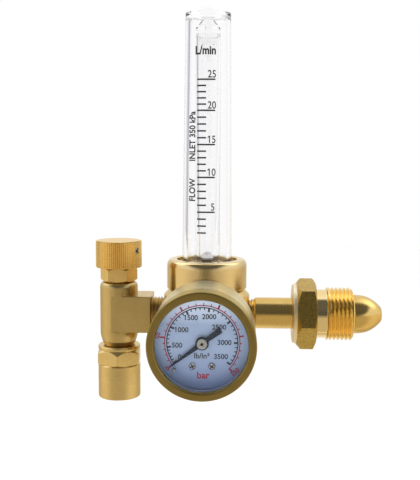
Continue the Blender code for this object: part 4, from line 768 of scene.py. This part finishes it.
def between(tree, value, low, high, start=0.0, end=1.0):
    """The value carried from low and high to start and end, held at both ends."""
    sockets = {"Value": value, "From Min": low, "From Max": high, "To Min": start, "To Max": end}
    return add(tree, "ShaderNodeMapRange", sockets).outputs["Result"]


def mixed(tree, share, first, second, kind="MIX"):
    """Two colours mixed by a share; the node's colours are its inputs 6 and 7 and its output 2."""
    sockets = {0: share, 6: first, 7: second}
    return add(tree, "ShaderNodeMix", sockets, data_type="RGBA", blend_type=kind).outputs[2]


def start_group(name, inputs, outputs):
    group = bpy.data.node_groups.new(name, "ShaderNodeTree")
    for label, kind in inputs:
        group.interface.new_socket(name=label, in_out="INPUT", socket_type=kind)
    for label in outputs:
        group.interface.new_socket(name=label, in_out="OUTPUT", socket_type="NodeSocketFloat")
    return group, group.nodes.new("NodeGroupInput").outputs, group.nodes.new("NodeGroupOutput").inputs


def lathe_marks_group():
    """Fine rings left by the turning tool, from the distance to the axis and the height along it."""
    inputs = [("Place", "NodeSocketVector"), ("Fineness", "NodeSocketFloat")]
    group, given, out = start_group("lathe marks", inputs, ["Rings", "Radius"])
    flat = add(group, "ShaderNodeVectorMath", {0: given["Place"], 1: (1, 1, 0)}, operation="MULTIPLY")
    radius = add(group, "ShaderNodeVectorMath", {0: flat.outputs[0]}, operation="LENGTH").outputs["Value"]
    parts = add(group, "ShaderNodeSeparateXYZ", {0: given["Place"]}).outputs
    around = product(group, sum_of(group, parts["Y"], parts["X"], "ARCTAN2"), 0.05)
    spot = add(group, "ShaderNodeCombineXYZ", {0: radius, 1: parts["Z"], 2: around}).outputs[0]
    fine = add(group, "ShaderNodeVectorMath", {0: spot, "Scale": given["Fineness"]}, operation="SCALE")
    noise = add(group, "ShaderNodeTexNoise", {"Vector": fine.outputs[0], "Scale": 1.0, "Detail": 3.0,
                                              "Roughness": 0.65})
    group.links.new(noise.outputs["Fac"], out["Rings"])
    group.links.new(radius, out["Radius"])
    return group


def handling_group():
    """Faint clouds of tarnish, a fine grain, a few small pits, and the speckle of a saw-cut face."""
    group, given, out = start_group("handling", [("Place", "NodeSocketVector")],
                                    ["Clouds", "Grain", "Pits", "Speckle"])
    clouds = add(group, "ShaderNodeTexNoise", {"Vector": given["Place"], "Scale": 0.16, "Detail": 5.0,
                                               "Roughness": 0.6, "Distortion": 0.6})
    group.links.new(between(group, clouds.outputs["Fac"], 0.32, 0.7), out["Clouds"])
    grain = add(group, "ShaderNodeTexNoise", {"Vector": given["Place"], "Scale": 3.5, "Detail": 4.0})
    group.links.new(grain.outputs["Fac"], out["Grain"])
    pits = add(group, "ShaderNodeTexNoise", {"Vector": given["Place"], "Scale": 0.75, "Detail": 2.0})
    group.links.new(between(group, pits.outputs["Fac"], 0.73, 0.8), out["Pits"])
    speckle = add(group, "ShaderNodeTexNoise", {"Vector": given["Place"], "Scale": 1.3, "Detail": 2.0})
    group.links.new(between(group, speckle.outputs["Fac"], 0.42, 0.66), out["Speckle"])
    return group


LATHE_MARKS = lathe_marks_group()
HANDLING = handling_group()
PIT_TONE = (0.12, 0.07, 0.03, 1)
SPECKLE_TONE = (0.2, 0.13, 0.035, 1)
# Painted shade for the low ground of a knurl.
ROOT_SHADE_TONE = (0.1, 0.05, 0.015, 1)


def start_material(name, at, facing):
    """A bare material, and its place in millimetres about the piece's own axis."""
    material = bpy.data.materials.new(name)
    material.use_nodes = True
    tree = material.node_tree
    coords = add(tree, "ShaderNodeTexCoord").outputs["Object"]
    place = add(tree, "ShaderNodeMapping", {"Vector": coords, "Location": Vector(at) * MM, "Rotation": facing,
                                            "Scale": (MM, MM, MM)}, vector_type="TEXTURE").outputs[0]
    return material, tree, tree.nodes["Principled BSDF"], place


def give(tree, shader, **sockets):
    for label, value in sockets.items():
        socket = shader.inputs[label.replace("_", " ")]
        if isinstance(value, bpy.types.NodeSocket):
            tree.links.new(value, socket)
        else:
            socket.default_value = value


def metal(name, bright, dull, rough, rings=0.5, fineness=6.0, tarnish=0.6, at=ON_BODY, facing=UPRIGHT,
          relief=0.25, root_shade=None, bands=(), metallic=1.0, edge=None, speckle=0.0):
    """Turned metal: two tones clouded together, tool rings in its shine and relief, fine grain and pits.

    Root shade paints shade into the low ground of a knurl, and each band has its own tone between two heights."""
    material, tree, shader, place = start_material(name, at, facing)
    marks = add(tree, "ShaderNodeGroup", node_tree=LATHE_MARKS)
    tree.links.new(place, marks.inputs["Place"])
    marks.inputs["Fineness"].default_value = fineness
    worn = add(tree, "ShaderNodeGroup", node_tree=HANDLING)
    tree.links.new(place, worn.inputs["Place"])
    ring = marks.outputs["Rings"]
    clouds = worn.outputs["Clouds"]
    colour = mixed(tree, product(tree, clouds, tarnish), (*bright, 1), (*dull, 1))
    colour = mixed(tree, product(tree, worn.outputs["Pits"], 0.55), colour, PIT_TONE)
    if speckle:
        spots = product(tree, worn.outputs["Speckle"], speckle)
        colour = mixed(tree, spots, colour, SPECKLE_TONE)
    # Painted shade: the low ground of a knurl is darkened towards a near-black brown.
    if root_shade:
        low, high, share, start = root_shade
        height = add(tree, "ShaderNodeSeparateXYZ", {0: place}).outputs["Z"]
        painted_root_shade = product(tree, between(tree, marks.outputs["Radius"], low, high, share, 0.0),
                      between(tree, height, start, start + 0.2))
        colour = mixed(tree, painted_root_shade, colour, ROOT_SHADE_TONE)
    shine = sum_of(tree, between(tree, ring, 0.3, 0.7, -0.12 * rings, 0.12 * rings), rough)
    # A band gives its own tone and shine between two heights; the float ball's dark band and the dial screws'
    # slot band are painted shade.
    for start, end, tone, change in bands:
        height = add(tree, "ShaderNodeSeparateXYZ", {0: place}).outputs["Z"]
        inside = product(tree, between(tree, height, start, start + 0.1),
                        between(tree, height, end, end - 0.1))
        colour = mixed(tree, product(tree, inside, 0.85), colour, (*tone, 1))
        shine = sum_of(tree, shine, product(tree, inside, change))
    shine = sum_of(tree, shine, between(tree, clouds, 0, 1, -0.03, 0.06))
    shine = sum_of(tree, shine, between(tree, worn.outputs["Grain"], 0.3, 0.7, -0.03, 0.03))
    height = sum_of(tree, product(tree, ring, rings),
                    product(tree, worn.outputs["Grain"], 0.2))
    bump = add(tree, "ShaderNodeBump", {"Height": height, "Strength": relief, "Distance": 0.00005})
    give(tree, shader, Base_Color=colour, Roughness=shine, Metallic=metallic, Normal=bump.outputs[0])
    if edge:
        give(tree, shader, Specular_Tint=(*edge, 1))
    return material


def matt(name, colour, shade, rough, at=ON_BODY, facing=UPRIGHT, relief=0.15, gloss=0.5, painted_shading=()):
    """Paint, ink, rubber or plastic: clouded colour, uneven shine and a fine grain; painted shading lightens or
    darkens it from top to bottom as painted light and painted shade.
    """
    material, tree, shader, place = start_material(name, at, facing)
    worn = add(tree, "ShaderNodeGroup", node_tree=HANDLING)
    tree.links.new(place, worn.inputs["Place"])
    tone = mixed(tree, worn.outputs["Clouds"], (*colour, 1), (*shade, 1))
    # Painted light and painted shade: each entry mixes in a lighter or darker tint between two heights up the
    # piece.
    for start, end, tint in painted_shading:
        up = add(tree, "ShaderNodeSeparateXYZ", {0: place}).outputs["Y"]
        tone = mixed(tree, between(tree, up, start, end), tone, (*tint, 1))
    shine = between(tree, worn.outputs["Grain"], 0.3, 0.7, rough - 0.06, rough + 0.06)
    bump = add(tree, "ShaderNodeBump", {"Height": worn.outputs["Grain"], "Strength": relief,
                                        "Distance": 0.00003})
    give(tree, shader, Base_Color=tone, Roughness=shine, Specular_IOR_Level=gloss, Normal=bump.outputs[0])
    return material


def clear(name, tint, index=1.49, at=ON_BODY, facing=UPRIGHT):
    """Clear plastic with faint drawing lines; its shadow is nearly as light as its air."""
    material, tree, shader, place = start_material(name, at, facing)
    worn = add(tree, "ShaderNodeGroup", node_tree=HANDLING)
    tree.links.new(place, worn.inputs["Place"])
    marks = add(tree, "ShaderNodeGroup", node_tree=LATHE_MARKS)
    tree.links.new(place, marks.inputs["Place"])
    marks.inputs["Fineness"].default_value = 1.2
    shine = sum_of(tree, between(tree, worn.outputs["Clouds"], 0, 1, 0.0, 0.01),
                   between(tree, marks.outputs["Rings"], 0.4, 0.7, 0.0, 0.008))
    shadow = add(tree, "ShaderNodeLightPath").outputs["Is Shadow Ray"]
    give(tree, shader, Base_Color=(*tint, 1), Roughness=shine, Transmission_Weight=1.0, IOR=index,
         Alpha=between(tree, shadow, 0, 1, 1.0, 0.08))
    return material


POLISHED = (0.74, 0.53, 0.19)
WARM = (0.66, 0.43, 0.13)
PALE = (0.70, 0.53, 0.24)
SATIN = (0.60, 0.455, 0.205)
SATIN_DEEP = (0.56, 0.40, 0.16)
RICH = (0.95, 0.68, 0.27)
OLIVE = (0.68, 0.61, 0.41)
OLIVE_DEEP = (0.59, 0.52, 0.33)
BRONZED = (0.31, 0.23, 0.078)
BRONZED_DEEP = (0.26, 0.19, 0.062)


def make_finishes():
    pipe = {"at": ON_BODY, "facing": ALONG_PIPE}
    valve = {"at": ON_VALVE}
    gauge = {"at": ON_GAUGE, "facing": TO_FRONT}
    return {
        "brass_body": metal("brass_body", POLISHED, WARM, 0.2),
        "brass_collar": metal("brass_collar", (0.74, 0.58, 0.31), (0.7, 0.53, 0.25), 0.11, rings=1.0,
                              relief=0.8),
        "brass_cap": metal("brass_cap", POLISHED, WARM, 0.25),
        "brass_inlet": metal("brass_inlet", POLISHED, WARM, 0.2, **pipe),
        "brass_nut": metal("brass_nut", (0.6, 0.42, 0.105), (0.5, 0.34, 0.08), 0.34, rings=0.6, speckle=0.5,
                           bands=((39.0, 41.4, (0.95, 0.84, 0.64), 0.08),
                                  (50.3, 55.2, (0.95, 0.76, 0.42), -0.28),
                                  (55.2, 67.6, (0.97, 0.71, 0.26), -0.2)), **pipe),
        "brass_valve": metal("brass_valve", SATIN, SATIN_DEEP, 0.3, rings=0.25, **valve),
        "brass_packing": metal("brass_packing", RICH, POLISHED, 0.3, **valve),
        # The knurl's low ground is painted dark: painted shade.
        "brass_knob": metal("brass_knob", RICH, RICH, 0.28, root_shade=(10.12, 10.3, 0.14, 20), **valve),
        "brass_outlet": metal("brass_outlet", PALE, SATIN, 0.27, rings=0.4, **valve),
        "brass_case": metal("brass_case", OLIVE, OLIVE_DEEP, 0.3, rings=1.0, fineness=9, metallic=0.7,
                            edge=(0.92, 0.84, 0.6), **gauge),
        "brass_bezel": metal("brass_bezel", BRONZED, BRONZED_DEEP, 0.34, rings=0.6, fineness=9,
                             bands=((19.5, 28.6, (0.64, 0.57, 0.37), 0.0),), edge=(0.8, 0.7, 0.42), **gauge),
        # The clamp ring's pale, nearly matt tone stands in for light that does not reach inside the collar:
        # painted light.
        "brass_gland": metal("brass_gland", (0.98, 0.88, 0.7), (0.72, 0.56, 0.38), 0.28, tarnish=1.0,
                             metallic=0.1),
        "brass_inner": metal("brass_inner", POLISHED, WARM, 0.25),
        "bronze": metal("bronze", (0.56, 0.38, 0.15), (0.42, 0.27, 0.1), 0.35),
        # The lower part of the float ball is painted dark: painted shade, not the ball's own colour.
        "steel_ball": metal("steel_ball", (0.68, 0.66, 0.65), (0.6, 0.58, 0.57), 0.1, rings=0.1,
                            bands=((22.0, 25.2, (0.15, 0.13, 0.12), 0.0),)),
        "dark_steel": metal("dark_steel", (0.06, 0.055, 0.05), (0.03, 0.028, 0.025), 0.4, **gauge),
        # The thin dark band at the depth of the dial screws' slots is painted shade.
        "steel": metal("steel", (0.42, 0.42, 0.42), (0.3, 0.3, 0.31), 0.28,
                       bands=((20.9, 21.35, (0.02, 0.02, 0.025), 0.1),), **gauge),
        "bright_metal": metal("bright_metal", (0.34, 0.33, 0.30), (0.28, 0.27, 0.24), 0.35, **gauge),
        "clear_cover": clear("clear_cover", (0.998, 0.998, 1.0)),
        "clear_tube": clear("clear_tube", (0.998, 0.998, 1.0)),
        "clear_stop": clear("clear_stop", (0.998, 0.998, 1.0), 1.22),
        "clear_lens": clear("clear_lens", (0.998, 0.998, 1.0), 1.15, **gauge),
        # The dial is painted lighter near its top and darker near its bottom: painted light and painted shade,
        # not the paint's own colour.
        "dial_white": matt("dial_white", (0.35, 0.44, 0.62), (0.325, 0.415, 0.59), 0.4,
                           painted_shading=((7.5, 16, (0.74, 0.84, 1.0)), (-3, -17, (0.19, 0.26, 0.46))), **gauge),
        "pointer_black": matt("pointer_black", (0.022, 0.029, 0.042), (0.03, 0.038, 0.052), 0.6, gloss=0.2,
                              **gauge),
        "rubber": matt("rubber", (0.02, 0.02, 0.02), (0.035, 0.034, 0.032), 0.6),
        "amber_rubber": matt("amber_rubber", (0.5, 0.3, 0.1), (0.38, 0.22, 0.07), 0.4),
        "pale_rubber": matt("pale_rubber", (0.27, 0.33, 0.5), (0.23, 0.29, 0.45), 0.6),
        "nylon": matt("nylon", (0.72, 0.70, 0.64), (0.62, 0.6, 0.53), 0.45),
        "black_ink": matt("black_ink", (0.02, 0.022, 0.03), (0.04, 0.042, 0.05), 0.5, **gauge),
        "red_ink": matt("red_ink", (0.36, 0.014, 0.045), (0.3, 0.012, 0.04), 0.5, **gauge),
        "scale_ink": matt("scale_ink", (0.015, 0.015, 0.018), (0.03, 0.03, 0.034), 0.5),
    }


FINISH = make_finishes()


def dress(piece, node, finish, body="regulator", angle=32, reach=None):
    """Gives a piece its finish and its place in the frame, where it stands for one CAD node.

    A spring is given a reach in place of a body: its place goes into its mesh and it rides no body; the second
    body and the heights in the reach are not used."""
    select_only(piece)
    bpy.ops.object.shade_smooth_by_angle(angle=math.radians(angle))
    even = piece.modifiers.new("even shading", "WEIGHTED_NORMAL")
    even.weight = 100
    even.keep_sharp = True
    bpy.ops.object.modifier_apply(modifier=even.name)
    piece.data.materials.clear()
    piece.data.materials.append(FINISH[finish])
    if reach:
        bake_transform(piece)
    else:
        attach(piece, body)
    if node:
        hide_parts(node)
    return piece


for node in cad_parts.values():
    node.data.materials[0] = FINISH[node.data.materials[0].name.split(".")[0]]
for node, finish in (("pinion_arbor", "dark_steel"), ("lens_gasket", "pale_rubber"),
                     ("tube_o_ring", "amber_rubber"), ("cover_o_ring", "amber_rubber")):
    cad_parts[node].data.materials[0] = FINISH[finish]

dress(make_body(), "regulator_body", "brass_body")
dress(make_collar(), "tube_socket", "brass_collar")
dress(make_cap(), "body_cap", "brass_cap")
dress(make_plug(), "passage_plug", "brass_cap")
dress(make_spring("pressure_spring", 7.4, 1.6, -24.7, -14.0, 4), "main_spring", "steel",
      reach=("piston", -23.5, -15.2))
dress(make_spring("seat_spring", 2.1, 0.5, -3.0, 2.7, 4), "poppet_spring", "steel",
      reach=("poppet", 2.2, -2.5))
dress(make_nipple(), "inlet_nipple", "brass_inlet")
dress(make_nut(), "inlet_nut", "brass_nut", "cylinder_nut")
dress(make_valve(), "valve_body", "brass_valve")
dress(make_link(), "valve_nipple", "brass_valve")
dress(make_packing_nut(), "packing_nut", "brass_packing")
dress(make_knob(), "flow_knob", "brass_knob", "knob")
dress(make_set_screw(), "knob_set_screw", "steel", "knob")
dress(make_washer(), "outlet_washer", "bronze")
dress(make_outlet(), "outlet_fitting", "brass_outlet")
dress(make_cover(), "tube_cover", "clear_cover")
dress(make_metering_tube(), "metering_tube", "clear_tube")
dress(make_stop(), "float_stop", "clear_stop")
dress(make_gland(), "tube_gland", "brass_gland")
dress(make_ball(), "float_ball", "steel_ball", "float")
dress(make_case(), "gauge_case", "brass_case")
dress(make_bezel(), "gauge_bezel", "brass_bezel")
dress(make_lens(), "gauge_lens", "clear_lens")
dress(make_dial(), "gauge_dial", "dial_white")
dress(make_pointer(), "pointer", "pointer_black", "gauge_hand")
dress(make_hub(), "pointer_hub", "bright_metal", "gauge_hand")
dress(make_stop_pin(), "stop_pin", "bright_metal")
for screw, node in zip(make_dial_screws(), ("dial_screw_left", "dial_screw_right")):
    dress(screw, node, "steel")
for mark, ink in zip(make_dial_print(), ("black_ink", "red_ink")):
    dress(mark, None, ink)
dress(make_tube_print(), None, "scale_ink")


def make_world():
    """A white tent with a dark room behind the camera: reflections show it, and the camera sees plain white."""
    world = bpy.data.worlds.new("tent")
    bpy.context.scene.world = world
    world.use_nodes = True
    tree = world.node_tree
    ray = add(tree, "ShaderNodeLightPath").outputs
    coords = add(tree, "ShaderNodeTexCoord").outputs["Generated"]
    part = add(tree, "ShaderNodeSeparateXYZ", {0: coords}).outputs
    swing = sum_of(tree, part["X"], product(tree, part["Y"], -1.0), "ARCTAN2")
    swing = add(tree, "ShaderNodeMath", {0: swing}, operation="ABSOLUTE").outputs[0]
    height = part["Z"]
    side = add(tree, "ShaderNodeMath", {0: part["X"]}, operation="ABSOLUTE").outputs[0]

    # The dark room is an arch behind the camera.
    arch = product(tree, product(tree, part["X"], part["X"]), -0.9)
    room = product(tree, between(tree, sum_of(tree, height, arch), -0.2, 0.05),
                   between(tree, part["Y"], 0.0, -0.25))
    room = product(tree, room, between(tree, side, 0.88, 0.62))

    # Below is a warm table, and above are white walls with a brighter patch on each side.
    table = product(tree, between(tree, swing, 0.6, 1.2, 0.64, 1.0),
                    between(tree, swing, 1.7, 2.2, 1.0, 0.68))
    walls = sum_of(tree, between(tree, swing, 1.7, 2.2, 1.05, 0.82),
                   between(tree, height, 0.3, 0.5, 0.0, 0.23))
    aim = sum_of(tree, product(tree, side, 0.62), product(tree, part["Y"], 0.2))
    aim = sum_of(tree, aim, product(tree, height, 0.76))
    walls = sum_of(tree, walls, between(tree, aim, 0.9, 0.96, 0.0, 0.8))
    low = add(tree, "ShaderNodeCombineColor", {0: table, 1: product(tree, table, 0.87),
                                               2: product(tree, table, 0.62)}).outputs[0]
    high = add(tree, "ShaderNodeCombineColor", {0: walls, 1: walls, 2: walls}).outputs[0]
    mirrored = mixed(tree, between(tree, height, -0.08, 0.06), low, high)
    mirrored = mixed(tree, product(tree, room, 0.9), mirrored, (0, 0, 0, 1))
    behind = between(tree, swing, 2.75, 3.0)
    mirrored = mixed(tree, behind, mirrored, (1.0, 0.96, 0.88, 1))

    # Rays through the edge of the cover (2 faces) or of the inner tube (6) bend to the tent's grey sides.
    through = ray["Is Transmission Ray"]
    bent = sum_of(tree, between(tree, part["X"], -0.4, -0.8), between(tree, part["X"], 0.6, 0.95, 0.0, 0.3))
    depth = ray["Transmission Depth"]
    edges = [add(tree, "ShaderNodeMath", {0: depth, 1: faces, 2: 0.5}, operation="COMPARE").outputs[0]
             for faces in (2.0, 6.0)]
    bent = product(tree, bent, sum_of(tree, *edges))
    bent = mixed(tree, product(tree, bent, through), (1, 1, 1, 1), (0.4, 0.38, 0.45, 1))

    mirror_ray = product(tree, ray["Is Glossy Ray"], sum_of(tree, 1.0, through, "SUBTRACT"))
    seen = mixed(tree, mirror_ray, bent, mirrored)
    direct = sum_of(tree, sum_of(tree, ray["Is Camera Ray"], ray["Is Glossy Ray"]), through)
    direct = add(tree, "ShaderNodeMath", {0: direct, 1: 1.0}, operation="MINIMUM").outputs[0]
    shown = mixed(tree, direct, (1, 1, 1, 1), seen)
    tree.links.new(shown, tree.nodes["Background"].inputs["Color"])
    tree.nodes["Background"].inputs["Strength"].default_value = 1.0


def make_lamp(name, place, aim, size, power):
    data = bpy.data.lights.new(name, "AREA")
    data.shape = "DISK"
    data.size = size
    data.energy = power
    lamp = bpy.data.objects.new(name, data)
    bpy.context.scene.collection.objects.link(lamp)
    lamp.location = place
    lamp.rotation_euler = (Vector(aim) - Vector(place)).to_track_quat("-Z", "Y").to_euler()
    lamp.visible_glossy = False
    lamp.visible_transmission = False


def make_floor():
    deselect()
    bpy.ops.mesh.primitive_plane_add(size=6, location=(-0.07, 0.5, -0.36))
    floor = bpy.context.object
    floor.name = "studio_floor"
    material, tree, shader, place = start_material("studio_white", (0, 0, 0), UPRIGHT)
    cloud = add(tree, "ShaderNodeTexNoise", {"Vector": place, "Scale": 0.01}).outputs["Fac"]
    give(tree, shader, Base_Color=(1, 1, 1, 1), Roughness=between(tree, cloud, 0.3, 0.7, 0.7, 0.9))
    floor.data.materials.append(material)
    floor.visible_glossy = False


def make_camera():
    data = bpy.data.cameras.new("camera")
    data.lens = 58.29
    data.sensor_width = 36
    camera = bpy.data.objects.new("camera", data)
    bpy.context.scene.collection.objects.link(camera)
    camera.location = (-0.06629, -0.3568, 0.0714)
    swing = Euler((0, 0, math.radians(2.08))).to_quaternion()
    tilt = Euler((math.radians(90 - 6.006), 0, 0)).to_quaternion()
    roll = Euler((0, 0, math.radians(0.342))).to_quaternion()
    camera.rotation_euler = (swing @ tilt @ roll).to_euler()
    bpy.context.scene.camera = camera


make_world()
make_lamp("top_lamp", (-0.25, -0.1, 0.9), (-0.07, 0, 0.03), 0.6, 3)
make_lamp("table_glow", (-0.1, -0.5, -0.28), (-0.08, -0.05, 0), 0.4, 0.9)
make_floor()
make_camera()
bpy.context.scene.view_settings.view_transform = "Standard"
